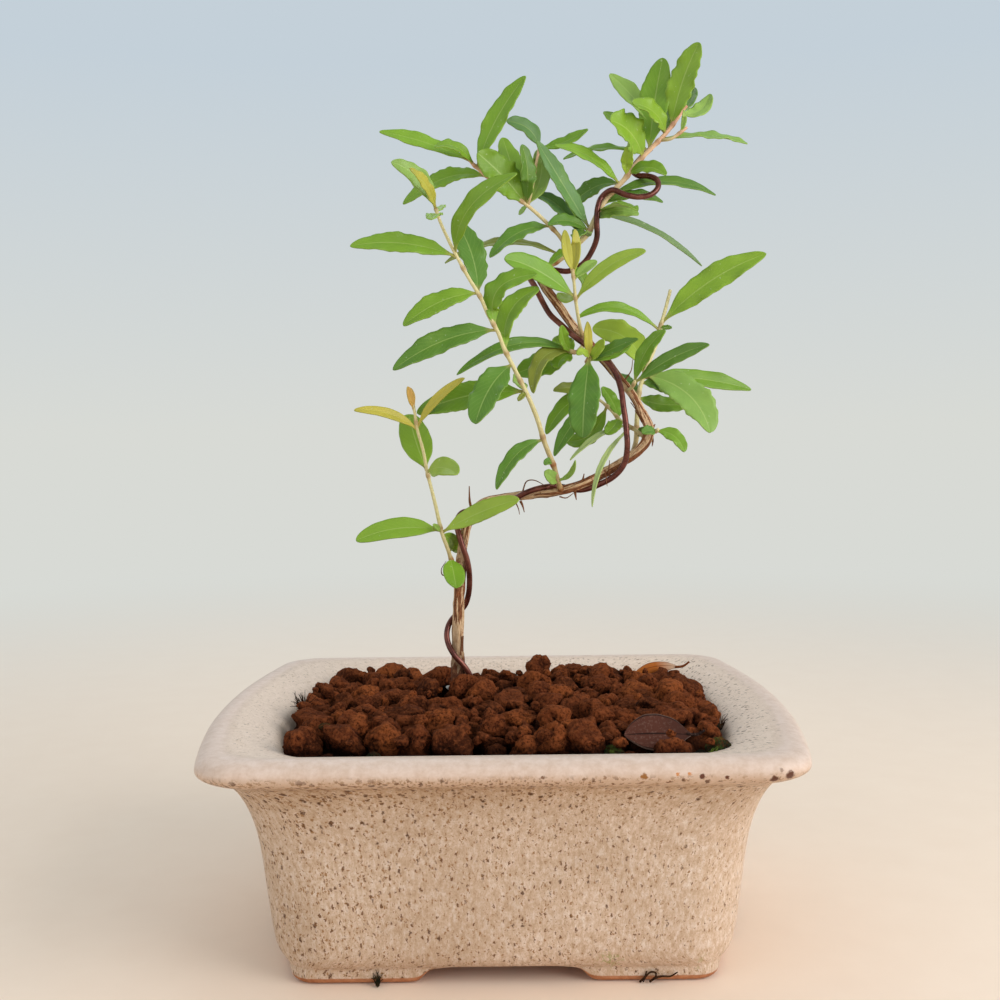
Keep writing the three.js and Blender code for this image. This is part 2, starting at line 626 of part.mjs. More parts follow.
        leaves: [
          leaf(1, [15, 14, 142], 3.5, 24, [0, 0, 1.5]),
          leaf(1, [13, 19, 130], 5, 29, [-0.5, 0, 3.5]),
          leaf(0.97, [15, 14, 124], 4.5, 29, [-0.5, 0, 1.5]),
          leaf(0.81, [19, 24, 128], 5.5, 29, [1, 0, -3]),
          leaf(0.57, [29, 10, 130], 4, 29, [0.5, 0, 0]),
          leaf(0.57, [29, 21, 143], 4.5, 34, [1, 0, -0.5]),
          leaf(0.39, [19, 8, 123], 3.5, 50, [0, 0, 2]),
          leaf(0.33, [24, -4, 111], 2.5, 40, [-2.5, -2, 1.5]),
        ],
      },
    ],
  },
  right_shoot: {
    colour: colours.leaf,
    branches: [
      {
        points: [
          [36, 8.5, 124.5], [37.5, 13, 128], [38, 16, 131.5], [39, 19, 141], [40, 20, 144.5],
          [42, 21, 149.5], [44.5, 22, 155.5], [45.5, 22.5, 159.5], [47, 23, 164.5],
          [48.5, 23.5, 170],
        ],
        radii: [1.1, 0.7],
        leaves: [
          leaf(0.77, [22, 17, 162], 3.5, 35, [0, 0, 4.5]),
          leaf(0.81, [74, 17, 179], 7.5, 19, [-1, 0, 2]),
          leaf(0.79, [48, 18, 159], 1.5, 24, [0, 0, 0]),
          leaf(0.51, [57, 8, 130], 10, 24, [3, 0, 2.5]),
          leaf(0.49, [72, 27, 142], 5.5, 29, [0, 0, 1.5]),
          leaf(0.38, [54, 23, 138], 5, 29, [-1, 1, -1]),
          leaf(0.46, [47, 18, 141], 4.5, 34, [1, 0, 1]),
          leaf(0.4, [35, 26, 147], 4.5, 34, [-0.5, 0, 0]),
          leaf(0.51, [27, 29, 160], 8.5, 24, [3, 0, 3]),
          leaf(0.16, [40, 12, 131], 2.5, 34, [0, 0, 0]),
        ],
      },
    ],
  },
  right_spur: {
    colour: colours.leaf,
    branches: [
      {
        points: [
          [35, 11.5, 141.5], [36, 8, 142.5], [36.5, 6, 144],
        ],
        radii: [0.8, 0.6],
        leaves: [
          leaf(0.85, [44, 1, 157], 4.5, 39, [-1, 0, 1.5]),
          leaf(0.85, [55, -2, 153], 4.5, 29, [0, 0, 1.5]),
        ],
      },
    ],
  },
  corner_spur: {
    colour: colours.leaf,
    branches: [
      {
        points: [
          [41, 8, 130], [42, 5.5, 130.5], [42.5, 4.5, 131],
        ],
        radii: [0.8, 0.6],
        leaves: [
          leaf(0.7, [49, 1, 125], 4, 29, [1, 0, 1.5]),
          leaf(0.7, [38, 1, 130], 3, 34, [0, 0, 0.5]),
        ],
      },
    ],
  },
};

// A leafy shoot is one grown body: its stems, tapered along their points, and their leaves
function makeBranch({ points, radii, leaves }) {
  const curve = new THREE.CatmullRomCurve3(points.map(vector), false, 'centripetal');
  const steps = Math.max(2, Math.round(curve.getLength() / stemStep));
  const stem = toSolid(stemGeometry(points, taper(...radii), stemSides, steps));
  const blades = leaves.map(({ at, tip, width, turn, bend }) =>
    toSolid(bladeGeometry(curve.getPointAt(at), vector(tip), width, turn, vector(bend))));
  return join([stem, ...blades]);
}

const makeShoot = (branches, seat) => mainBody(join(branches.map(makeBranch)).subtract(seat));

// Fallen leaves: single blades that lie among the granules, each from its stalk to its tip
const fallenLeaves = {
  fallen_leaf_purple: {
    colour: colours.purple, stalk: [44, -38, 60], tip: [27, -40, 58.6], width: 10.5, turn: 48,
    bend: [0, 0, 0.5],
  },
  fallen_leaf_rust: {
    colour: colours.rust, stalk: [52, 39.5, 59.5], tip: [38, 37.5, 58], width: 5, turn: 40,
    bend: [0, 0, 1.5],
  },
};

const makeFallenLeaf = ({ stalk, tip, width, turn, bend }, grow = 0) =>
  toSolid(bladeGeometry(
    ...extended([stalk, tip], grow).map(vector), width, turn, vector(bend), grow,
  ));

// Assembly

const tree = new THREE.Group();

function addPart(name, solid, finish) {
  const mesh = new THREE.Mesh(toGeometry(solid), finish);
  mesh.name = name;
  tree.add(mesh);
}

const trunk = makeTrunk();
const wire = makeWire();
const seat = makeTrunk(clearance).add(makeWire(clearance));
const apexStem = shoots.apex_shoot.branches[0];
const apexSeat = makeBranch({
  points: apexStem.points,
  radii: apexStem.radii.map((radius) => radius + 2 * clearance),
  leaves: [],
});

addPart('pot', makePot(), material(colours.glaze, 0.45));
addPart('drain_mesh_left', makeDrainMesh(-1), material(colours.mesh, 0.6));
addPart('drain_mesh_right', makeDrainMesh(1), material(colours.mesh, 0.6));
const leafBeds = Object.values(fallenLeaves).map((fallen) => makeFallenLeaf(fallen, 2 * clearance));
const soil = makeSoil([makeTrunk(clearance), makeWire(clearance), ...leafBeds]);
addPart('soil', soil, material(colours.granule, 0.95));
addPart('trunk', trunk, material(colours.bark, 0.85));
addPart('training_wire', wire, material(colours.wire, 0.4, 0.6));

for (const [name, { colour, branches }] of Object.entries(shoots)) {
  const shootSeat = name === 'apex_shoot' ? seat : seat.add(apexSeat);
  addPart(name, makeShoot(branches, shootSeat), material(colour, 0.6));
}
for (const [name, fallen] of Object.entries(fallenLeaves)) {
  addPart(name, makeFallenLeaf(fallen), material(fallen.colour, 0.7));
}

export default tree;
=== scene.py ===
import math
import random
import bmesh
import bpy
from mathutils import Euler, Matrix, Vector, geometry, noise


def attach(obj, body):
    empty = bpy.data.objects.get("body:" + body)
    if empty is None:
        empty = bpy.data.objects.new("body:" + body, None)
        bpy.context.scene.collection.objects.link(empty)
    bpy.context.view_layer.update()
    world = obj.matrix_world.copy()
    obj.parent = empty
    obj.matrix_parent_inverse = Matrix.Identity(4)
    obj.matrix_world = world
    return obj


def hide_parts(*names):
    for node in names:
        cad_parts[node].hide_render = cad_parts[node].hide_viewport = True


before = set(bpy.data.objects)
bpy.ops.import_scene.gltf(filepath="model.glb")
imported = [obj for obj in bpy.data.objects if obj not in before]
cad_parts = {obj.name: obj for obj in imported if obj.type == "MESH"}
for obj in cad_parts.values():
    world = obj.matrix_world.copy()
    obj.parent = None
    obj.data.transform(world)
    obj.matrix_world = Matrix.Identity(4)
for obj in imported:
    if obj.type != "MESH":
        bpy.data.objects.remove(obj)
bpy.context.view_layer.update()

# A wired pomegranate tree in a speckled pot. Places and sizes below are in millimetres, and colours
# are red, green and blue from 0 to 255, as a paint picker shows them.
mm = 0.001
bpy.ops.object.select_all(action="DESELECT")


# Camera, floor and light

cameraView = {
    "place": (0, -322, 132),
    "tilt": 86.59,  # degrees up from straight down
    "roll": -0.63,
    "lens": 43.92,
}


def placeCamera():
    bpy.ops.object.camera_add(location=Vector(cameraView["place"]) * mm)
    camera = bpy.context.object
    camera.name = "studioCamera"
    tilt = Euler((math.radians(cameraView["tilt"]), 0, 0)).to_matrix()
    roll = Matrix.Rotation(math.radians(cameraView["roll"]), 3, "Z")
    camera.rotation_euler = (tilt @ roll).to_euler()
    camera.data.lens = cameraView["lens"]
    camera.data.sensor_width = 36
    camera.data.clip_start = 0.01
    bpy.context.scene.camera = camera
    bpy.context.scene.view_settings.view_transform = "Standard"


def paint(colour):
    # the linear colour that Blender works with
    shares = [value / 255 for value in colour]
    return (*[s / 12.92 if s < 0.04 else ((s + 0.055) / 1.055) ** 2.4 for s in shares], 1)


def grey(value):
    return (value, value, value, 1)


class Finish:
    # short ways to add the nodes of a material, or of the world
    def __init__(self, owner):
        owner.use_nodes = True
        self.owner = owner
        self.nodes = owner.node_tree.nodes

    def fill(self, socket, value):
        # a socket takes another node's output, a colour or a plain value
        if isinstance(value, bpy.types.NodeSocket):
            self.owner.node_tree.links.new(value, socket)
        elif socket.type == "RGBA" and len(value) == 3:
            socket.default_value = paint(value)
        else:
            socket.default_value = value

    def add(self, kind, output, inputs=None, **settings):
        made = self.nodes.new("ShaderNode" + kind)
        for name, value in settings.items():
            setattr(made, name, value)
        for name, value in (inputs or {}).items():
            self.fill(made.inputs[name], value)
        return made.outputs[output]

    def surface(self, name, value):
        self.fill(self.nodes["Principled BSDF"].inputs[name], value)

    def coords(self, output="Object"):
        return self.add("TexCoord", output)

    def mark(self, name, output="Fac"):
        return self.add("Attribute", output, attribute_name=name)

    def axis(self, vector, name):
        return self.add("SeparateXYZ", name, {0: vector})

    def stretched(self, vector, *scale):
        return self.add("Mapping", 0, {0: vector, "Scale": scale})

    def between(self, value, start, end, **settings):
        # 0 to 1 as a length passes from start to end
        inputs = {"Value": value, "From Min": start * mm, "From Max": end * mm}
        return self.add("MapRange", "Result", inputs, **settings)

    def vectors(self, operation, first, second):
        return self.add("VectorMath", 0, {0: first, 1: second}, operation=operation)

    def shaken(self, vector, warp, reach):
        shift = self.add("VectorMath", 0, {0: warp, "Scale": reach}, operation="SCALE")
        return self.vectors("ADD", vector, shift)

    def length(self, vector):
        return self.add("VectorMath", "Value", {0: vector}, operation="LENGTH")

    def calculate(self, operation, first, second=0.0):
        return self.add("Math", 0, {0: first, 1: second}, operation=operation)

    def times(self, first, second):
        return self.calculate("MULTIPLY", first, second)

    def plus(self, first, second):
        return self.calculate("ADD", first, second)

    def minus(self, first, second):
        return self.calculate("SUBTRACT", first, second)

    def noise(self, vector, scale, detail=4, roughness=0.6):
        inputs = {"Vector": vector, "Scale": scale, "Detail": detail, "Roughness": roughness}
        return self.add("TexNoise", "Fac", inputs)

    def cells(self, vector, scale, dimensions="3D"):
        inputs = {"Vector": vector, "Scale": scale}
        return self.add("TexVoronoi", "Distance", inputs, voronoi_dimensions=dimensions)

    def ramp(self, value, *stops):
        # colours or greys at places from 0 to 1
        made = self.add("ValToRGB", "Color", {"Fac": value})
        elements = made.node.color_ramp.elements
        while len(elements) < len(stops):
            elements.new(0.5)
        for element, (place, colour) in zip(elements, stops):
            element.position = place
            element.color = paint(colour) if isinstance(colour, tuple) else grey(colour)
        return made

    def mix(self, share, first, second):
        return self.add("Mix", 2, {0: share, 6: first, 7: second}, data_type="RGBA")

    def over(self, base, colour, value, *stops):
        # a colour laid over the base, as strongly as the stops say along the value
        return self.mix(self.ramp(value, *stops), base, colour)

    def layered(self, base, values, layers):
        for kind, start, end, colour in layers:
            base = self.over(base, colour, values[kind], start, end)
        return base

    def bump(self, height, distance, strength=1.0):
        inputs = {"Height": height, "Distance": distance * mm, "Strength": strength}
        self.surface("Normal", self.add("Bump", "Normal", inputs))


def newFinish(name, roughness, specular=0.5):
    look = Finish(bpy.data.materials.new(name))
    look.surface("Roughness", roughness)
    look.surface("Specular IOR Level", specular)
    return look


def begin(add, **options):
    # a new primitive, with nothing else selected
    bpy.ops.object.select_all(action="DESELECT")
    add(**options)
    return bpy.context.object


def beginGrid(along, across):
    return begin(bpy.ops.mesh.primitive_grid_add, x_subdivisions=along, y_subdivisions=across, size=1)


studio = {
    "floor": ((244, 222, 200), (239, 215, 192)),
    "far": (216, 218, 213),
    "sky": (196, 208, 217),
    "fade": (90, 840),  # where the floor begins to pale, and where it is lost
    "lamps": {  # place, size in metres, power
        "keyLamp": ((620, -400, 400), 0.6, 4.6),
        "fillLamp": ((-560, -420, 380), 0.7, 0.9),
        "backLamp": ((-120, 520, 560), 0.6, 0.8),
    },
    "aim": (0, 0, 90),
}


def makeStudio():
    floor = begin(bpy.ops.mesh.primitive_circle_add, vertices=96, radius=12, fill_type="NGON")
    floor.name = "studioFloor"
    look = newFinish("paleFloor", 0.8, 0.2)
    spot = look.coords()
    look.surface("Base Color", look.mix(look.noise(spot, 60), *studio["floor"]))
    away = look.between(look.length(spot), *studio["fade"], interpolation_type="SMOOTHSTEP")
    glow = look.add("Emission", 0, {"Color": studio["far"], "Strength": 1.0})
    solid = look.nodes["Principled BSDF"].outputs[0]
    blended = look.add("MixShader", 0, {0: away, 1: solid, 2: glow})
    look.fill(look.nodes["Material Output"].inputs["Surface"], blended)
    floor.data.materials.append(look.owner)

    world = bpy.data.worlds.new("studioWorld")
    bpy.context.scene.world = world
    look = Finish(world)
    height = look.axis(look.coords("Generated"), "Z")
    backdrop = look.nodes["Background"].inputs
    look.fill(backdrop["Color"], look.ramp(height, (0.0, studio["far"]), (0.28, studio["sky"])))
    look.fill(backdrop["Strength"], 1.0)

    for name, (place, size, power) in studio["lamps"].items():
        bpy.ops.object.light_add(type="AREA", location=Vector(place) * mm)
        lamp = bpy.context.object
        lamp.name = name
        lamp.data.shape = "DISK"
        lamp.data.size = size
        lamp.data.energy = power
        aim = Vector(studio["aim"]) * mm - lamp.location
        lamp.rotation_euler = aim.to_track_quat("-Z", "Y").to_euler()
    print("studio ready")


# Working helpers

def clamp(value):
    return min(1, max(0, value))


def scatter(draw, reach):
    return Vector([draw.uniform(-reach, reach) for _ in range(3)])


def pick(*objects):
    bpy.ops.object.select_all(action="DESELECT")
    for obj in objects:
        obj.select_set(True)
    bpy.context.view_layer.objects.active = objects[-1]


def applyModifiers(obj):
    pick(obj)
    for modifier in list(obj.modifiers):
        bpy.ops.object.modifier_apply(modifier=modifier.name)


def copyOf(shape):
    copy = shape.copy()
    copy.data = shape.data.copy()
    bpy.context.collection.objects.link(copy)
    return copy


def joined(objects, name):
    pick(*objects)
    if len(objects) > 1:
        bpy.ops.object.join()
    whole = bpy.context.object
    whole.name = name
    whole.data.name = name
    return whole


def outwards(obj):
    pick(obj)
    bpy.ops.object.mode_set(mode="EDIT")
    bpy.ops.mesh.select_all(action="SELECT")
    bpy.ops.mesh.normals_make_consistent(inside=False)
    bpy.ops.object.mode_set(mode="OBJECT")


def dress(piece, *materials):
    piece.data.materials.clear()
    for material in materials:
        piece.data.materials.append(material)
    return piece


def markPoints(obj, name, values):
    # a number at every point, which the material reads
    obj.data.attributes.new(name, "FLOAT", "POINT").data.foreach_set("value", values)


def smoothPath(points, steps):
    # evenly spaced places along a smooth curve through the points, in metres
    knots = [Vector(point) * mm for point in points]
    knots = [2 * knots[0] - knots[1], *knots, 2 * knots[-1] - knots[-2]]
    dense = []
    for before, start, end, after in zip(knots, knots[1:], knots[2:], knots[3:]):
        back, gap, on = [math.sqrt((b - a).length) for a, b in
                         ((before, start), (start, end), (end, after))]
        leave = (start - before) / back - (end - before) / (back + gap) + (end - start) / gap
        arrive = (end - start) / gap - (after - start) / (gap + on) + (after - end) / on
        handles = (start + leave * gap / 3, end - arrive * gap / 3)
        dense += geometry.interpolate_bezier(start, *handles, end, 17)[:-1]
    dense.append(knots[-2])
    reach = [0.0]
    for a, b in zip(dense, dense[1:]):
        reach.append(reach[-1] + (b - a).length)
    path, at = [], 0
    for step in range(steps + 1):
        goal = reach[-1] * step / steps
        while at < len(dense) - 2 and reach[at + 1] < goal:
            at += 1
        share = (goal - reach[at]) / max(1e-9, reach[at + 1] - reach[at])
        path.append(dense[at].lerp(dense[at + 1], clamp(share)))
    return path


def placeOn(path, share):
    place = min(len(path) - 1.001, max(0, share * (len(path) - 1)))
    return path[int(place)].lerp(path[int(place) + 1], place % 1)


def carriedFrames(path):
    # at each place of the path: its direction and two directions across it that don't twist
    across = (path[1] - path[0]).orthogonal().normalized()
    frames = []
    for step in range(len(path)):
        ahead = (path[min(step + 1, len(path) - 1)] - path[max(step - 1, 0)]).normalized()
        across = (across - ahead * across.dot(ahead)).normalized()
        frames.append((ahead, across, ahead.cross(across)))
    return frames


def rollTube(name, path, radiusAt, sides):
    # a flat grid rolled round a path, so that its UV map runs along and round the tube
    tube = beginGrid(len(path) - 1, sides)
    tube.name = name
    frames = carriedFrames(path)
    for vertex in tube.data.vertices:
        step = round((vertex.co.x + 0.5) * (len(path) - 1))
        angle = round((vertex.co.y + 0.5) * sides) % sides / sides * 2 * math.pi
        _, right, up = frames[step]
        radius = radiusAt(step / (len(path) - 1), angle) * mm
        vertex.co = path[step] + (right * math.cos(angle) + up * math.sin(angle)) * radius
    bpy.ops.object.mode_set(mode="EDIT")
    bpy.ops.mesh.select_all(action="SELECT")
    bpy.ops.mesh.remove_doubles(threshold=1e-7)
    bpy.ops.mesh.select_all(action="DESELECT")
    bpy.ops.mesh.select_non_manifold()
    bpy.ops.mesh.fill_holes(sides=0)
    bpy.ops.object.mode_set(mode="OBJECT")
    outwards(tube)
    bpy.ops.object.shade_smooth()
    return tube


def thread(points, steps, thick, thinning, sides):
    # a thin tube that tapers towards its end
    return rollTube("thread", smoothPath(points, steps), lambda along, angle: thick - thinning * along, sides)


def markAlong(tube, name, valueAt):
    # a number at every point of a rolled tube, from its place along and its angle round it
    marks = [0.0] * len(tube.data.vertices)
    if tube.data.uv_layers:
        for loop, spot in zip(tube.data.loops, tube.data.uv_layers[0].data):
            marks[loop.vertex_index] = valueAt(spot.uv.x, spot.uv.y * 2 * math.pi)
    markPoints(tube, name, marks)


def finishPiece(piece, slot, *nodes):
    # a finished piece stands still on the tree's one body, in place of its plain solid
    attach(piece, "root")
    if nodes:
        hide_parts(*nodes)


# Pot

potShape = {
    "halfWidth": 74.5,
    "halfDepth": 63.5,
    "bow": 7.3,  # how far the sides bulge beyond the corners
    "floor": 9.5,
    "footHeight": 4.5,
    "footGap": 42,
    "sideFootGap": 34,
    "footSlopes": ((3.2, 0.72), (12, 0.28)),  # the arch rises steeply at first, then gently
    "archHeight": 0.98,  # of the foot's height
    "drainRadius": 5,
    "drainOffset": 24,
    "cornerSteps": 6,
}

# from the underside out under the feet, up the wall, over the lip and down inside: how far each
# ring lies inside the lip's edge at the sides and at the front, its corner, height and finish
# (0 bare clay, 1 speckled wall, 2 smooth lip, 3 inner slope)
potRings = [
    (28.4, 35.2, 4, 4.5, 0), (28.1, 34.8, 4.2, 0.6, 0), (27.4, 34.2, 4.5, 0, 0), (18.4, 25.2, 3.6, 0, 0),
    (17.8, 24.5, 3.8, 0.5, 0), (17.3, 24, 4, 1.3, 0.1), (17.1, 23.7, 4.2, 2.4, 1), (17, 23.6, 4.6, 3.8, 1),
    (16.9, 23.3, 5.5, 4.3, 1), (16, 22.2, 8, 5.2, 1), (15, 20.9, 10.5, 6.8, 1), (14.5, 19.7, 12, 9.5, 1),
    (13.3, 17.8, 12, 21, 1), (12.2, 16.1, 12, 33, 1), (10.8, 14.2, 12, 40, 1), (8.7, 11.7, 11, 46.5, 1),
    (6.4, 8, 10, 51.2, 1), (4.4, 5.2, 9, 53, 1.2), (2.2, 2.4, 9, 53.9, 1.8), (0.5, 0.5, 8, 55.4, 2),
    (0, 0, 8, 57.2, 2), (0.8, 0.8, 8, 58.9, 2), (2.6, 2.6, 8, 59.8, 2), (4.8, 4.8, 8, 60, 2.2),
    (9, 9, 9, 59.3, 3), (13.2, 13.2, 11, 58, 3), (16.4, 16, 12, 56.6, 3), (18.4, 17.8, 12, 54.6, 3),
    (19, 19.2, 12, 44, 3), (20, 21.6, 11, 33, 3), (22, 25, 10, 14, 3), (23.4, 26.4, 9, 10.4, 3),
    (26, 29, 9, 9.5, 3),
]

sidePlaces = [40, 24, 21, 19.5, 18, 16.5, 14.5, 12, 6, 0]
sidePlaces += [-place for place in sidePlaces[-2::-1]]
quarterStations = potShape["cornerSteps"] + 1 + len(sidePlaces)
allStations = 4 * quarterStations


def outlineAt(ring, station):
    # a place on a ring: four round corners, with straight or bowed sides between them
    insetX, insetY, corner, height = ring[:4]
    halfX = potShape["halfWidth"] - potShape["bow"] - insetX
    halfY = potShape["halfDepth"] - insetY
    quarter, step = divmod(station, quarterStations)
    signX, signY = (1, -1, -1, 1)[quarter], (1, 1, -1, -1)[quarter]
    if step <= potShape["cornerSteps"]:
        angle = (quarter + step / potShape["cornerSteps"]) * math.pi / 2
        x = signX * (halfX - corner) + corner * math.cos(angle)
        y = signY * (halfY - corner) + corner * math.sin(angle)
    else:
        place = sidePlaces[step - potShape["cornerSteps"] - 1]
        limit = (halfX if quarter % 2 == 0 else halfY) - corner
        if abs(place) > 24:
            place = math.copysign((limit + 24) / 2, place)
        place *= signY
        if quarter % 2:
            place *= -signX * signY
        x, y = (place, signY * halfY) if quarter % 2 == 0 else (signX * halfX, place)
    bulge = 1 + potShape["bow"] / halfX * (1 - (y / halfY) ** 2)
    return Vector((x * bulge, y, height)) * mm


def buildFromRings(name, rings):
    # a face drawn up through the rings, which closes the body at both ends
    body = begin(bpy.ops.mesh.primitive_circle_add, vertices=allStations, radius=1, fill_type="NGON")
    body.name = name
    bpy.ops.object.mode_set(mode="EDIT")
    length = 0.0
    for number, ring in enumerate(rings):
        if number:
            bpy.ops.mesh.extrude_region_move()
            length += (outlineAt(ring, 0) - outlineAt(rings[number - 1], 0)).length
        sculpt = bmesh.from_edit_mesh(body.data)
        layers = sculpt.verts.layers
        station = layers.int.get("station") or layers.int.new("station")
        profile = layers.float.get("profile") or layers.float.new("profile")
        finish = layers.float.get("finish") or layers.float.new("finish")
        for vertex in [vertex for vertex in sculpt.verts if vertex.select]:
            if number == 0:
                vertex[station] = vertex.index
            vertex.co = outlineAt(ring, vertex[station])
            vertex[profile] = length
            vertex[finish] = ring[4] if len(ring) > 4 else 0
        bmesh.update_edit_mesh(body.data)
    bpy.ops.object.mode_set(mode="OBJECT")
    outwards(body)
    return body


def mapRound(body, girthRing):
    # a UV map in decimetres: round the body, and up its profile
    places = [outlineAt(girthRing, station) for station in range(allStations)]
    girth = [0.0]
    for a, b in zip(places, places[1:] + places[:1]):
        girth.append(girth[-1] + (b - a).length)
    mesh = body.data
    uvMap = mesh.uv_layers.new(name="aroundMap")
    station, profile = mesh.attributes["station"].data, mesh.attributes["profile"].data
    for face in mesh.polygons:
        corners = [(loop, station[mesh.loops[loop].vertex_index].value) for loop in face.loop_indices]
        wraps = max(s for _, s in corners) - min(s for _, s in corners) > allStations / 2
        for loop, side in corners:
            if wraps and side == 0:
                side = allStations
            up = profile[mesh.loops[loop].vertex_index].value
            uvMap.data[loop].uv = (girth[side] * 10, up * 10)


def footLift(place):
    # the arch between two feet: how far the pot's lower edge rises there, in metres
    x, y = abs(place.x) / mm, abs(place.y) / mm
    lift = 0
    for along, across, gap in ((x, y, potShape["footGap"]), (y, x, potShape["sideFootGap"])):
        rise = 0
        for slope, part in potShape["footSlopes"]:
            share = clamp((gap / 2 - along) / slope)
            rise += part * share * share * (3 - 2 * share)
        if across > 26:
            lift = max(lift, rise)
    return lift * potShape["archHeight"] * max(0, potShape["footHeight"] * mm - place.z)


def makePot():
    pot = buildFromRings("glazedPot", potRings)
    mapRound(pot, potRings[13])
    plateHeight = potShape["footHeight"] * mm
    for vertex in pot.data.vertices:
        if vertex.co.z < potShape["floor"] * mm and abs(vertex.co.z - plateHeight) > 1e-6:
            vertex.co.z += footLift(vertex.co)
    roundOff = pot.modifiers.new("roundOff", "SUBSURF")
    roundOff.levels = roundOff.render_levels = 2
    applyModifiers(pot)
    for side in (-1, 1):
        place = (side * potShape["drainOffset"] * mm, 0, 0.007)
        drill = begin(bpy.ops.mesh.primitive_cylinder_add, vertices=48,
                      radius=potShape["drainRadius"] * mm, depth=0.02, location=place)
        cut = pot.modifiers.new("drainHole", "BOOLEAN")
        cut.object = drill
        cut.solver = "EXACT"
        applyModifiers(pot)
        bpy.data.objects.remove(drill)
    pick(pot)
    bpy.ops.object.shade_smooth_by_angle(angle=math.radians(40))
    finishPiece(dress(pot, glazeMaterial()), "glaze", "pot")
    print("pot ready", len(pot.data.polygons))


glazeLook = {
    "wall": [(0.36, (188, 157, 128)), (0.5, (214, 187, 163)), (0.62, (233, 215, 200))],
    "fibre": (164, 133, 102),
    "underLip": (170, 132, 92),
    "lowLip": (198, 160, 124),
    "lip": [(0.36, (207, 178, 157)), (0.5, (214, 187, 168)), (0.64, (220, 195, 178))],
    "slope": [(0.3, (206, 180, 156)), (0.62, (226, 202, 182))],
    "clay": [(0.3, (158, 98, 62)), (0.7, (192, 132, 92))],
    "bands": {"underLip": (44, 53), "lowLip": (57.2, 55.4), "left": (60, -60)},
    # cells in a decimetre, widest speck in cells, how many cells stay empty, colour
    "specks": [
        (150, 0.7, 0.46, (150, 108, 64)),
        (84, 0.62, 0.54, (106, 64, 26)),
        (46, 0.48, 0.6, (82, 42, 12)),
    ],
    "dashes": (84, 0.52, 0.32, (102, 66, 34)),
    "lipSpecks": (170, 0.7, 0.84, (136, 92, 56)),
    # single marks on the front: place, radius, strength and colour
    "marks": [
        ((30.4, -63.5, 56.6), 0.85, 0.95, (150, 94, 34)), ((37.7, -63.5, 57), 0.5, 0.85, (200, 124, 52)),
        ((40.2, -63.5, 57), 0.5, 0.85, (200, 124, 52)), ((38.9, -63, 55.6), 0.6, 0.9, (104, 60, 30)),
        ((42.9, -63.5, 56.5), 0.75, 0.95, (88, 36, 14)), ((44.2, -62.5, 55.1), 0.65, 0.9, (96, 56, 30)),
        ((43.5, -60, 57.6), 0.5, 0.7, (106, 86, 66)), ((48.3, -63.5, 56.1), 0.65, 0.95, (92, 42, 18)),
        ((54.2, -60, 57.7), 0.65, 0.9, (104, 66, 38)), ((58.6, -63, 55.6), 1, 0.95, (88, 40, 18)),
        ((60.1, -61, 57.6), 0.7, 0.9, (104, 66, 38)), ((62, -62, 56.3), 1.2, 0.95, (84, 38, 18)),
        ((22, -63.5, 56.4), 0.5, 0.7, (128, 82, 40)), ((17.6, -63.5, 56.2), 0.45, 0.7, (120, 84, 48)),
        ((8.6, -63.5, 56.6), 0.5, 0.8, (110, 66, 34)), ((-18, -63.5, 55.8), 0.45, 0.6, (128, 88, 56)),
    ],
    # threads of moss near the feet: place, radius and strength
    "moss": [((24.6, -42.6, 6), 4, 0.95), ((46.6, -40, 5.4), 3.4, 0.4)],
    "mossTone": (140, 146, 72),
}


def addSpecks(look, base, place, layer, where, crowd=0.0, dimensions="2D"):
    # one speck to a cell, of many sizes
    scale, size, least, colour = layer
    away = look.cells(place, scale, dimensions)
    draw = look.plus(look.add("SeparateColor", 0, {0: away.node.outputs["Color"]}), crowd)
    inside = look.minus(look.times(look.minus(draw, least), size), away)
    speck = look.ramp(look.times(inside, 4), (0.0, 0.0), (0.5, 0.92))
    return look.mix(look.times(speck, where), base, colour)


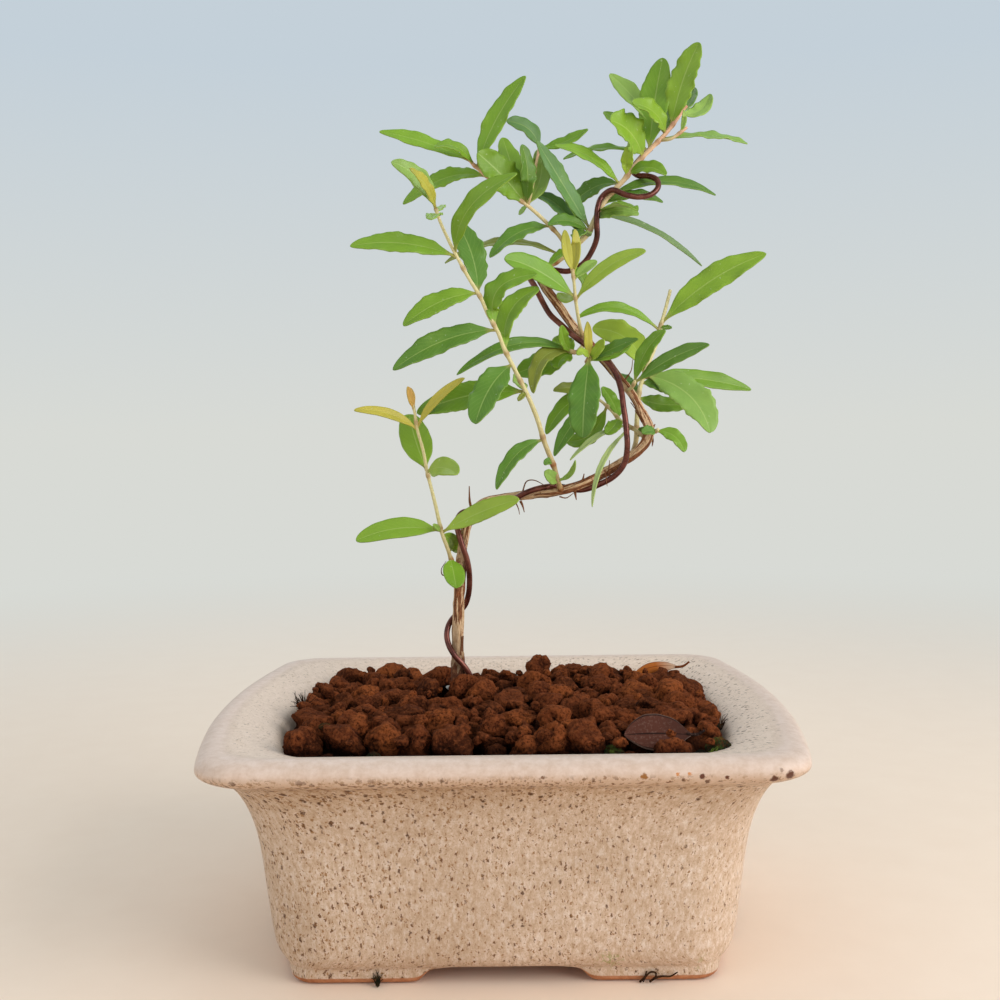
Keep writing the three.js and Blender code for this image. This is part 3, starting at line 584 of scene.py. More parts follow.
def glazeMaterial():
    look = newFinish("speckledGlaze", 0.42, 0.3)
    around = look.add("UVMap", 0, uv_map="aroundMap")
    solid = look.coords()
    finish = look.mark("finish")
    warp = look.add("TexNoise", "Color", {"Vector": solid, "Scale": 1500, "Detail": 3})

    # how much a place belongs to the lip, the inner slope, the bands by the lip and the left end
    quarter = look.times(finish, 0.25)
    lip = look.ramp(quarter, (0.42, 0.0), (0.5, 1.0), (0.56, 1.0), (0.72, 0.0))
    inner = look.ramp(quarter, (0.55, 0.0), (0.7, 1.0))
    height = look.axis(solid, "Z")
    underLip = look.between(height, *glazeLook["bands"]["underLip"])
    lowLip = look.times(look.between(height, *glazeLook["bands"]["lowLip"]), lip)
    leftShare = look.between(look.axis(solid, "X"), *glazeLook["bands"]["left"])

    # body colour: cream, mottled and drawn out in short fibres down the wall
    drawnOut = look.stretched(around, 1, 0.45, 1)
    mottle = look.noise(drawnOut, 80, 7, 0.78)
    fibre = look.noise(drawnOut, 420, 3, 0.7)
    broad = look.noise(solid, 42, 3)
    drips = look.noise(look.stretched(around, 1, 0.12, 1), 90, 5, 0.7)
    rusty = look.times(underLip, look.ramp(drips, (0.4, 0.5), (0.6, 0.0)))
    wall = look.ramp(mottle, *glazeLook["wall"])
    wall = look.over(wall, glazeLook["fibre"], fibre, (0.5, 0.0), (0.7, 0.6))
    wall = look.over(wall, glazeLook["fibre"], broad, (0.35, 0.3), (0.6, 0.0))
    wall = look.mix(rusty, wall, glazeLook["underLip"])
    # the left end a little darker in the fibre tone: painted shade, as the key light falls from the right
    wall = look.mix(look.times(leftShare, 0.2), wall, glazeLook["fibre"])
    base = look.mix(lip, wall, look.ramp(look.noise(solid, 420, 4, 0.7), *glazeLook["lip"]))
    base = look.mix(look.times(lowLip, 0.45), base, glazeLook["lowLip"])
    base = look.mix(inner, base, look.ramp(mottle, *glazeLook["slope"]))

    # specks: few on the lip, crowded under it and towards the left; dashes on the inner slope
    fewInside = look.minus(1.0, look.times(inner, 0.4))
    bareLip = look.minus(lip, look.times(lowLip, 0.8))
    peppered = look.minus(fewInside, bareLip)
    crowd = look.times(underLip, look.minus(0.2, look.times(inner, 0.24)))
    leaning = look.times(look.times(look.minus(leftShare, 0.4), 0.2), look.minus(1.0, inner))
    crowd = look.plus(crowd, leaning)
    dropped = look.shaken(look.stretched(around, 1, 0.6, 1), warp, 0.014)
    for layer in glazeLook["specks"]:
        base = addSpecks(look, base, dropped, layer, peppered, crowd)
    onSlope = look.times(inner, look.minus(0.9, leftShare))
    base = addSpecks(look, base, look.shaken(drawnOut, warp, 0.006), glazeLook["dashes"], onSlope)

    ragged = look.shaken(solid, warp, 1.2 * mm)
    middleOfWarp = Vector((0.6, 0.6, 0.6))
    for place, radius, strength, colour in glazeLook["marks"]:
        offset = look.vectors("SUBTRACT", ragged, (Vector(place) + middleOfWarp) * mm)
        away = look.length(look.vectors("MULTIPLY", offset, (1, 0.25, 1)))
        spot = look.calculate("DIVIDE", away, radius * mm)
        base = look.over(base, colour, spot, (0.6, strength), (1.0, 0.0))
    threads = look.ramp(look.noise(solid, 330, 3, 0.6), (0.44, 0.0), (0.47, 1.0), (0.51, 0.0))
    for place, radius, strength in glazeLook["moss"]:
        away = look.length(look.vectors("SUBTRACT", solid, Vector(place) * mm))
        spot = look.calculate("DIVIDE", away, radius * mm)
        near = look.ramp(spot, (0.5, strength), (1.0, 0.0))
        base = look.mix(look.times(near, threads), base, glazeLook["mossTone"])
    base = addSpecks(look, base, ragged, glazeLook["lipSpecks"], lip, 0.0, "3D")

    # bare red clay under the feet
    clay = look.ramp(look.noise(solid, 500), *glazeLook["clay"])
    bare = look.ramp(look.plus(finish, look.times(mottle, 0.25)), (0.45, 1.0), (0.62, 0.0))
    look.surface("Base Color", look.mix(bare, base, clay))
    rough = look.mix(lip, grey(0.52), grey(0.4))
    look.surface("Roughness", look.mix(bare, rough, grey(0.9)))
    relief = look.plus(look.plus(look.times(fibre, 0.4), mottle), look.times(broad, 3))
    look.bump(relief, 0.16, 0.45)
    return look.owner


# Soil

soilShape = {
    "back": 54.4,  # how high the bed lies at the back and at the front
    "front": 56.2,
    "crown": 0.8,
    "left": -53.4,  # how far the granules reach
    "right": 55.6,
    "frontAndBack": 46,
    "layers": [  # spacing, sizes, height above the bed, share left out
        (7, (5.4, 9.4), 0, 0),
        (8.6, (4.4, 9.8), 3.1, 0.26),
    ],
    "jitter": 0.32,  # how far a granule strays from its row, of the spacing
    "rise": (-1, 1.2),
    "crumbs": 260,
    "crumbSizes": (1.5, 4),
    "crumbRise": (2.6, 4.6),
    "crowding": 0.36,  # how near to each other placed granules and others may come
    "paintedShadeDepth": 7,  # the granules take painted shade this far up from the bed
    "shapes": 9,
    "sharpness": 34,  # how hard the edges of the broken faces are
    "crumbling": ((3.6, 0.05), (8, 0.042), (15, 0.026)),  # how fine and how deep the crumbs are
    "fineFrontOf": -22,
    "trunkFoot": (-12, 15),
    "seed": 12,
}

bedRings = [
    (26.6, 29.6, 9, 9.9), (22.6, 25.6, 10, 14), (20.1, 22, 11, 33), (17.3, 18.3, 12, 50.6),
    (18.6, 19.6, 11, 51.8), (24, 24, 9, 52.6), (34, 34, 5, 53.2),
]

# granules with a place of their own: middle, size and kind
placedGranules = [
    ((11, 37.5, 60.2), 9, "clay"), ((39.5, -44, 55.8), 9.4, "clay"), ((29, -45.4, 54.4), 6, "clay"),
    ((-47.4, -41, 58), 9.6, "clay"), ((-37.5, -39, 59), 10, "clay"), ((-28.6, -40, 58.8), 10, "clay"),
    ((-12.5, -42.5, 57.4), 11, "clay"), ((5, -42.5, 56.4), 8.6, "clay"), ((50.4, -42.4, 56), 7.4, "moss"),
    ((46, -44.4, 55.6), 4.4, "moss"), ((25.2, -43.4, 56.2), 5.4, "moss"), ((-30, -45, 56.2), 3.4, "moss"),
    ((-42.8, -31, 60.2), 3, "moss"), ((52, -24, 57.6), 4, "moss"), ((-14.6, 11, 60.4), 1.8, "grit"),
    ((-46.4, 37.6, 56.2), 10, "clay"), ((-33.6, 37, 56.8), 11, "clay"), ((-19, 25, 60.2), 9.6, "clay"),
    ((-10.2, 10, 60.8), 8.2, "clay"), ((-41, -45, 55.4), 5, "clay"), ((-2.5, -32, 60.2), 8, "clay"),
]


def bedHeight(x, y):
    # the bed falls towards the back, and rises a little from the wall towards the middle
    spread = max(abs(x) / (potShape["halfWidth"] - 18), abs(y) / (potShape["halfDepth"] - 18))
    rise = clamp((1 - spread) / 0.35) * soilShape["crown"]
    share = 0.5 + 0.5 * y / soilShape["frontAndBack"]
    return soilShape["front"] + (soilShape["back"] - soilShape["front"]) * share + rise


def heightUnderLeaves(x, y, radius):
    # how high a granule may reach where a fallen leaf lies on the soil
    limit = 1000
    for leaf in fallenLeaves.values():
        stalk, tip = Vector(leaf["stalk"]), Vector(leaf["tip"])
        rib = Vector((tip - stalk).xy)
        offset = Vector((x, y)) - stalk.xy
        along = offset.dot(rib) / rib.length_squared
        across = (offset - rib * along).dot(Vector((0, 1)))
        lean = math.radians(leaf["turn"])
        half = leaf["width"] / 2 * math.sin(lean)
        if -0.4 < along < 1.1 and -half - radius < across < half + radius + 3:
            level = stalk.z + (tip.z - stalk.z) * along - 0.4
            limit = min(limit, level + (min(across, half) - radius * 0.6) / math.tan(lean))
    return limit


def makeGranuleShape(number):
    # a clay granule one millimetre across: a ball broken off along a few flat faces, and crumbly
    granule = begin(bpy.ops.mesh.primitive_ico_sphere_add, subdivisions=4, radius=0.5 * mm)
    draw = random.Random(soilShape["seed"] + number)
    offset = scatter(draw, 50)
    stretch = Vector((draw.uniform(0.9, 1.15), draw.uniform(0.78, 1.0), draw.uniform(0.7, 0.9)))
    sharpness = soilShape["sharpness"]
    breaks, ridges = [], []
    for _ in range(draw.randint(7, 12)):
        breaks.append((Vector([draw.gauss(0, 1) for _ in range(3)]).normalized(), draw.uniform(0.3, 0.46)))
    for vertex in granule.data.vertices:
        way = vertex.co.normalized()
        reach = math.exp(-sharpness * 0.54)
        for facing, depth in breaks:
            slant = way.dot(facing)
            if slant > 0.3:
                reach += math.exp(-sharpness * depth / slant)
        lump = noise.noise(way * 1.4 + offset) * 0.08
        crumb = sum(noise.noise(way * fine + offset) * deep for fine, deep in soilShape["crumbling"])
        radius = lump + crumb - math.log(reach) / sharpness
        # ridge: high on crests and low in hollows; from it the material paints highlight on the crests and
        # shade in the hollows
        ridges.append(0.5 + crumb * 6 + (radius - 0.42) * 2.5)
        vertex.co = Vector(a * b for a, b in zip(way, stretch)) * radius * 1.1 * mm
    markPoints(granule, "ridge", ridges)
    return granule


def drawGranules(draw):
    # places and sizes of the granules, layer by layer, then the crumbs between them
    left, right, reachY = soilShape["left"], soilShape["right"], soilShape["frontAndBack"]
    jitter, spots = soilShape["jitter"], []
    for pitch, sizes, lift, missing in soilShape["layers"]:
        rows, places = int(reachY / pitch), int(right / pitch)
        for row in range(-rows, rows + 1):
            for place in range(-places, places + 1):
                x = (place + 0.5 * (row % 2) + draw.uniform(-jitter, jitter)) * pitch
                y = (row + draw.uniform(-jitter, jitter)) * pitch
                size = draw.uniform(*sizes)
                rise = draw.uniform(*soilShape["rise"])
                if draw.random() >= missing:
                    spots.append((x, y, bedHeight(x, y) + lift + rise, size))
    for _ in range(soilShape["crumbs"]):
        x, y = draw.uniform(left, right), draw.uniform(-reachY, reachY)
        size = draw.uniform(*soilShape["crumbSizes"])
        spots.append((x, y, bedHeight(x, y) + draw.uniform(*soilShape["crumbRise"]), size))

    kept = []
    for x, y, height, size in spots:
        room = size * 0.42
        narrow = potShape["bow"] * (y / reachY) ** 2
        x = max(left + narrow + room, min(right - narrow - room, x))
        y = max(-reachY + room, min(reachY - room, y))
        height = min(height, heightUnderLeaves(x, y, size * 0.4) - size * 0.36)
        atTrunk = math.dist((x, y), soilShape["trunkFoot"]) < 1.8 + size * 0.38
        crowded = any(math.dist((x, y, height), middle) < (size + wide) * soilShape["crowding"]
                      for middle, wide, _ in placedGranules)
        if not atTrunk and not crowded:
            kept.append(((x, y, height), size, "clay"))
    return kept + placedGranules


def makeSoil():
    material = granuleMaterial()
    # the bed carries no ridge or height marks, so the granule material paints it dark with the painted shade
    # of the gaps between granules
    bed = dress(buildFromRings("soilBed", bedRings), material)
    pick(bed)
    bpy.ops.object.shade_smooth_by_angle(angle=math.radians(30))
    finishPiece(bed, "granules", "soil")

    draw = random.Random(soilShape["seed"])
    shapes = [makeGranuleShape(number) for number in range(soilShape["shapes"])]
    coarse = [copyOf(shape) for shape in shapes]
    for shape in coarse:
        shape.modifiers.new("lighten", "DECIMATE").ratio = 0.36
        applyModifiers(shape)

    grown = {"front": [], "back": []}
    for middle, size, kind in drawGranules(draw):
        side = "front" if middle[1] < soilShape["fineFrontOf"] else "back"
        granule = copyOf(draw.choice(shapes if side == "front" and size > 4 else coarse))
        turn = Euler([draw.uniform(-0.5, 0.5), draw.uniform(-0.5, 0.5), draw.uniform(0, 6.28)])
        place = Matrix.Translation(Vector(middle) * mm)
        granule.data.transform(place @ turn.to_matrix().to_4x4() @ Matrix.Scale(size, 4))
        points = granule.data.vertices
        bed = bedHeight(middle[0], middle[1])
        marks = {"tint": draw.random(), "moss": float(kind == "moss"), "grit": float(kind == "grit")}
        for name, value in marks.items():
            markPoints(granule, name, [value] * len(points))
        # how high each point stands above the bed, which the material turns into painted shade low down,
        # where the granules shade each other
        markPoints(granule, "above", [(point.co.z / mm - bed) / soilShape["paintedShadeDepth"] for point in points])
        grown[side].append(granule)
    for shape in shapes + coarse:
        bpy.data.objects.remove(shape)
    for side, granules in grown.items():
        heap = dress(joined(granules, side + "Granules"), material)
        bpy.ops.object.shade_smooth()
        finishPiece(heap, "granules", "soil")
        print(side, "granules ready", len(granules), len(heap.data.polygons))


granuleLook = {
    "clay": [(0.26, (50, 24, 14)), (0.45, (84, 41, 23)), (0.68, (117, 59, 32)),
             (0.92, (160, 86, 43))],
    "moss": [(0.38, (20, 26, 18)), (0.56, (34, 44, 26)), (0.74, (84, 104, 40))],
    "grit": (222, 216, 206),
    # painted highlight on the edges and painted shade in the hollows, of the shape, of its sand and of its
    # crumbs; then painted light on the faces that look up, and painted shade low down near the bed
    "layers": [
        ("ridge", (0.55, 0.0), (0.95, 0.5), (142, 76, 42)),
        ("ridge", (0.08, 0.85), (0.48, 0.0), (32, 13, 8)),
        ("sand", (0.52, 0.0), (0.7, 0.5), (146, 80, 44)),
        ("sand", (0.34, 0.9), (0.48, 0.0), (34, 14, 8)),
        ("crumbs", (0.36, 0.8), (0.49, 0.0), (28, 12, 7)),
        ("crumbs", (0.55, 0.0), (0.68, 0.55), (154, 86, 50)),
        ("up", (0.3, 0.0), (0.95, 0.22), (140, 76, 44)),
        ("above", (0.1, 0.8), (0.56, 0.0), (24, 10, 6)),
    ],
}


def granuleMaterial():
    look = newFinish("firedGranule", 1, 0.04)
    solid = look.coords()
    patches = look.noise(solid, 210, 5, 0.62)
    values = {
        "ridge": look.mark("ridge"),
        # sand and crumbs also raise the bump; the material paints highlight on their crests and shade in
        # their hollows
        "sand": look.noise(solid, 1500, 4, 0.65),
        "crumbs": look.noise(solid, 760, 6, 0.72),
        # the faces that look up get painted light, as from a lamp above
        "up": look.axis(look.add("NewGeometry", "Normal"), "Z"),
        # painted shade low down near the bed
        "above": look.mark("above"),
    }
    tone = look.plus(look.times(look.mark("tint"), 0.56), look.times(patches, 0.6))
    colour = look.layered(look.ramp(tone, *granuleLook["clay"]), values, granuleLook["layers"])
    green = look.ramp(patches, *granuleLook["moss"])
    mossy = look.times(look.mark("moss"), look.ramp(values["sand"], (0.42, 0.25), (0.52, 0.95)))
    colour = look.mix(mossy, colour, green)
    look.surface("Base Color", look.mix(look.mark("grit"), colour, granuleLook["grit"]))
    pits = look.times(look.cells(solid, 900), 0.5)
    look.bump(look.plus(look.plus(look.times(values["sand"], 0.5), values["crumbs"]), pits), 0.95)
    return look.owner


# Trunk

trunkShape = {
    "points": [
        (-12, 15, 40), (-12, 15, 50), (-12.1, 15, 63), (-12.1, 15, 73), (-11.8, 15, 84),
        (-10.9, 14.7, 95.5), (-9.9, 14.3, 102), (-8.2, 13.8, 107.5), (-4.5, 13.2, 111.4),
        (1.5, 12.5, 112.7), (9, 11, 113.5), (16.5, 10, 114.5), (24, 9, 117), (30, 8.5, 120.5), (36, 8, 124),
        (39.5, 8, 127.5), (40.5, 8.5, 131), (39, 9.5, 135), (36.5, 11, 140), (33, 13, 145),
        (29, 14.5, 150.5), (25, 16.5, 155), (21, 18, 159.5), (17, 19.5, 165.5), (13.5, 20.5, 170.5),
        (12, 21.5, 173.5),
    ],
    "radius": 1.7,
    "thinning": 0.5,
    "ridges": ((0.12, 3, 40), (0.08, 5, -63)),  # height, number round the trunk and twist
    "flare": (0.5, 0.11, 0.04),  # how thick it is at the foot, where and how far it reaches
    "knuckle": (0.25, 0.69, 0.035),  # the same at the upper bend
    "steps": 620,
    "sides": 44,
    "peel": 0.26,  # how thick the bark strips are
    "cover": (1.25, -0.8),  # how much of the upper trunk they cover, and of the lower
    "flakes": 12,
    "flakeSizes": ((3, 6), (0.6, 1.3), (0.2, 0.6)),  # length, width and lift
    "seed": 5,
}

# dead stubs: foot, middle, tip and thickness at the foot
trunkStubs = [
    ((-7.5, 12.6, 108), (-8.3, 12.2, 112), (-8.4, 12, 116), 0.5),
    ((5.6, 10.5, 111.8), (6.2, 10, 110.4), (6.6, 9.8, 108.8), 0.4),
    ((20.4, 10, 114.4), (20.6, 9.8, 113.2), (20.8, 9.6, 112), 0.45),
    ((21.4, 9.2, 115.8), (22.5, 8.8, 117.6), (22.9, 8.8, 119.2), 0.5),
    ((39.8, 8.5, 130), (41.4, 8.7, 131.2), (42.2, 8.9, 132.4), 0.6),
    ((41, 8.5, 129.6), (41.5, 8.3, 128), (41.3, 8.2, 126.4), 0.45),
]

# threads of lifted bark: points along each
barkThreads = [
    [(6.2, 9.4, 114.6), (7.3, 8.6, 117.3), (9.2, 8.6, 117.6), (12.6, 9.4, 115.9)],
    [(4.2, 10.8, 111.6), (5, 10.1, 109.8), (5.3, 9.8, 108.2)],
    [(-13.4, 14, 92), (-16, 13, 91.4), (-16.4, 12.6, 93), (-15, 12.5, 95.4)],
    [(29.3, 7.2, 119.4), (29.5, 7, 121), (29.7, 7.4, 122.8)],
    [(16.2, 9.8, 113), (18, 9.6, 112.6), (20, 9.4, 113.9)],
    [(28.4, 7.2, 120.2), (28.7, 6.4, 117.8), (28.9, 6.2, 115.8)],
    [(34, 12, 144), (36, 11, 147), (36.4, 10.6, 150)],
]


def swelling(along, height, middle, reach):
    return height * math.exp(-(((along - middle) / reach) ** 2))


def barkAt(along, angle):
    # long strips of bark that follow the trunk: 1 on a strip, 0 where it has flaked off
    place = Vector((math.cos(angle) * 1.3, math.sin(angle) * 1.3, along * 10))
    strips = noise.noise(place) + 0.45 * noise.noise(place * 2.7) + 0.25 * noise.noise(place * 7)
    upper, lower = trunkShape["cover"]
    cover = upper * clamp((along - 0.28) / 0.2) + lower + swelling(along, 5, 0.13, 0.022)
    return clamp(strips * 5 + cover)


def trunkRadius(along, angle):
    bulges = swelling(along, *trunkShape["flare"]) + swelling(along, *trunkShape["knuckle"])
    ridge = sum(high * math.sin(count * angle + twist * along) for high, count, twist in trunkShape["ridges"])
    place = Vector((math.cos(angle) * 2.4, math.sin(angle) * 2.4, along * 46))
    fibre = 0.1 * noise.noise(Vector((place.x * 2.5, place.y * 2.5, place.z))) + 0.1 * noise.noise(place)
    peel = trunkShape["peel"] * barkAt(along, angle) * (0.7 + 0.6 * noise.noise(place))
    thinned = trunkShape["thinning"] * clamp((along - 0.2) / 0.25)
    return trunkShape["radius"] - thinned + bulges + ridge + fibre + peel - 0.15


def makeTrunk():
    path = smoothPath(trunkShape["points"], trunkShape["steps"])
    trunk = rollTube("barkTrunk", path, trunkRadius, trunkShape["sides"])
    markAlong(trunk, "strip", barkAt)
    parts = [trunk]
    for foot, middle, tip, radius in trunkStubs:
        def stubRadius(along, angle):
            knots = noise.noise(Vector((angle, along * 9, radius * 40)))
            return radius * (1 - 0.75 * along) * (1 + 0.25 * knots)
        parts.append(rollTube("deadStub", smoothPath([foot, middle, tip], 14), stubRadius, 10))
    parts += [thread(points, 20, 0.22, 0.14, 6) for points in barkThreads]
    parts += makeBarkFlakes(path, carriedFrames(path))
    for part in parts[1:]:
        markAlong(part, "strip", lambda along, angle: 0.9)
    whole = dress(joined(parts[::-1], "trunkWithBark"), barkMaterial())
    finishPiece(whole, "bark", "trunk")
    print("trunk ready", len(whole.data.polygons))


def makeBarkFlakes(path, frames):
    # thin curled strips that stand off the trunk
    draw = random.Random(trunkShape["seed"])
    flakes = []
    for number in range(trunkShape["flakes"]):
        along = 0.13 + 0.8 * (number + draw.random()) / trunkShape["flakes"]
        step = int(along * trunkShape["steps"])
        ahead, right, up = frames[step]
        angle = draw.uniform(0, 2 * math.pi)
        out = right * math.cos(angle) + up * math.sin(angle)
        side = ahead.cross(out)
        radius = (trunkRadius(along, angle) - 0.1) * mm
        length, width, lift = [draw.uniform(*limits) * mm for limits in trunkShape["flakeSizes"]]
        flake = beginGrid(8, 3)
        for vertex in flake.data.vertices:
            reach, across = vertex.co.x + 0.5, vertex.co.y
            taper = 1 - 0.6 * reach
            bow = radius - (across * width) ** 2 / (2 * radius) + lift * reach ** 2.2
            vertex.co = (path[step] + ahead * length * (reach - 0.3) + out * bow
                         + side * width * across * taper)
        flake.modifiers.new("thick", "SOLIDIFY").thickness = 0.18 * mm
        applyModifiers(flake)
        outwards(flake)
        flakes.append(flake)
    return flakes


barkLook = {
    "smooth": [(0.3, (166, 122, 82)), (0.46, (206, 166, 124)), (0.7, (228, 198, 162))],
    "strips": [(0.34, (78, 40, 20)), (0.5, (124, 72, 40)), (0.68, (180, 128, 84))],
    "layers": [
        ("speckle", (0.56, 0.0), (0.68, 0.7), (138, 74, 36)),
        ("patches", (0.58, 0.0), (0.78, 0.2), (128, 122, 66)),
    ],
    "darkerFoot": (74, 37, 20),
    "darkerFootFrom": (75, 64),  # the foot grows darker between these heights
}


def barkMaterial():
    look = newFinish("flakingBark", 0.78, 0.3)
    solid = look.coords()
    grain = look.noise(look.stretched(look.coords("UV"), 30, 9, 1), 3.5, 6, 0.7)
    values = {"speckle": look.noise(solid, 900, 3, 0.6), "patches": look.noise(solid, 45)}
    edge = look.plus(look.mark("strip"), look.times(values["speckle"], 0.3))
    smooth, strips = [look.ramp(grain, *barkLook[name]) for name in ("smooth", "strips")]
    colour = look.mix(look.ramp(edge, (0.4, 0.0), (0.75, 1.0)), smooth, strips)
    colour = look.layered(colour, values, barkLook["layers"])
    # darker towards the foot, in streaks along the grain
    low = look.between(look.axis(solid, "Z"), *barkLook["darkerFootFrom"])
    darkerFoot = look.times(low, look.ramp(grain, (0.38, 0.95), (0.62, 0.45)))
    look.surface("Base Color", look.mix(darkerFoot, colour, barkLook["darkerFoot"]))
    look.bump(look.plus(grain, look.times(values["speckle"], 0.4)), 0.3, 0.8)
    return look.owner


# Training wire

wireShape = {
    "radius": 0.8,
    "steps": 620,
    "sides": 16,
    "tones": [(0.3, (72, 33, 26)), (0.55, (108, 56, 44)), (0.78, (152, 96, 80))],
    "points": [
        (-7.5, 14, 46), (-7.4, 13.8, 50.5), (-7.6, 13.5, 56), (-8.8, 13, 63.2), (-10.7, 12.3, 66.5),
        (-12.9, 12.2, 69), (-14.5, 13.2, 71.6), (-15.2, 14.4, 74.2), (-14.8, 15.9, 76.8),
        (-13.6, 17.2, 78.7), (-11.8, 17.7, 80.4), (-10.1, 17, 82.5), (-9.1, 15.6, 85.5), (-8.7, 14.6, 89),
        (-8.8, 13.6, 92.7), (-9.4, 12.5, 96.2), (-10.3, 12, 99), (-11.2, 12.2, 102), (-11.9, 13.6, 104.7),
        (-11.8, 14.6, 106.8), (-10.5, 15.6, 108.5), (-8, 16, 109), (-5, 14.8, 109.5), (-1.6, 11.6, 110.5),
        (1.4, 10.3, 111.4), (4.4, 9.7, 112.7), (6.7, 9.3, 114), (9.3, 9.1, 115), (12.6, 9.4, 115.7),
        (16, 11.6, 115.7), (18.2, 12.3, 115.3), (20.1, 11.8, 114.8), (22.2, 10.5, 114.7),
        (24.9, 8.8, 115.4), (27.4, 7.8, 116.5), (30, 6.8, 117.9), (32.2, 6, 119.9), (33.6, 5.3, 122.3),
        (34.1, 4.8, 125), (34.2, 4.4, 127.4), (34, 4.6, 130.6), (33.8, 5.1, 133.6), (33.4, 5.8, 136.8),
        (33, 8, 141.5), (32, 10, 145.5), (30, 11, 149), (27, 12, 152), (23.5, 13.5, 154.5), (20.5, 15, 157),
        (17.5, 17, 160), (14.5, 18.5, 163), (12.5, 19.5, 166.5), (10.5, 19, 170.5), (9, 21.5, 174),
        (11.5, 24, 176), (16, 24.5, 176), (20, 23, 175.5), (24, 22.5, 177.5), (26.5, 22.5, 181),
        (27.8, 21.5, 184.6), (27.7, 20.8, 188.6), (28, 21, 192.5), (29.3, 22.2, 195.7), (32, 21, 197.4),
        (35.5, 20.5, 196), (39.5, 21, 195.4), (43, 21.6, 196.2), (45, 22.6, 198.3), (44.8, 24, 200.7),
        (42.5, 25.4, 202), (39.8, 26.4, 202.4), (38.4, 27, 204), (40.2, 27, 206.8), (43.6, 27, 210),
    ],
}


def makeWire():
    path = smoothPath(wireShape["points"], wireShape["steps"])
    wire = rollTube("anodisedWire", path, lambda along, angle: wireShape["radius"], wireShape["sides"])
    look = newFinish("brownAnodised", 0.3, 0.5)
    look.surface("Metallic", 0.55)
    solid = look.coords()
    # the colour and roughness vary in blotches, paler where rougher
    blotches = look.noise(solid, 260, 5, 0.6)
    look.surface("Base Color", look.ramp(blotches, *wireShape["tones"]))
    look.surface("Roughness", look.ramp(blotches, (0.3, 0.2), (0.75, 0.42)))
    look.bump(look.noise(solid, 700, 3), 0.05, 0.5)
    finishPiece(dress(wire, look.owner), "wire", "training_wire")
    print("wire ready")


# Leafy shoots

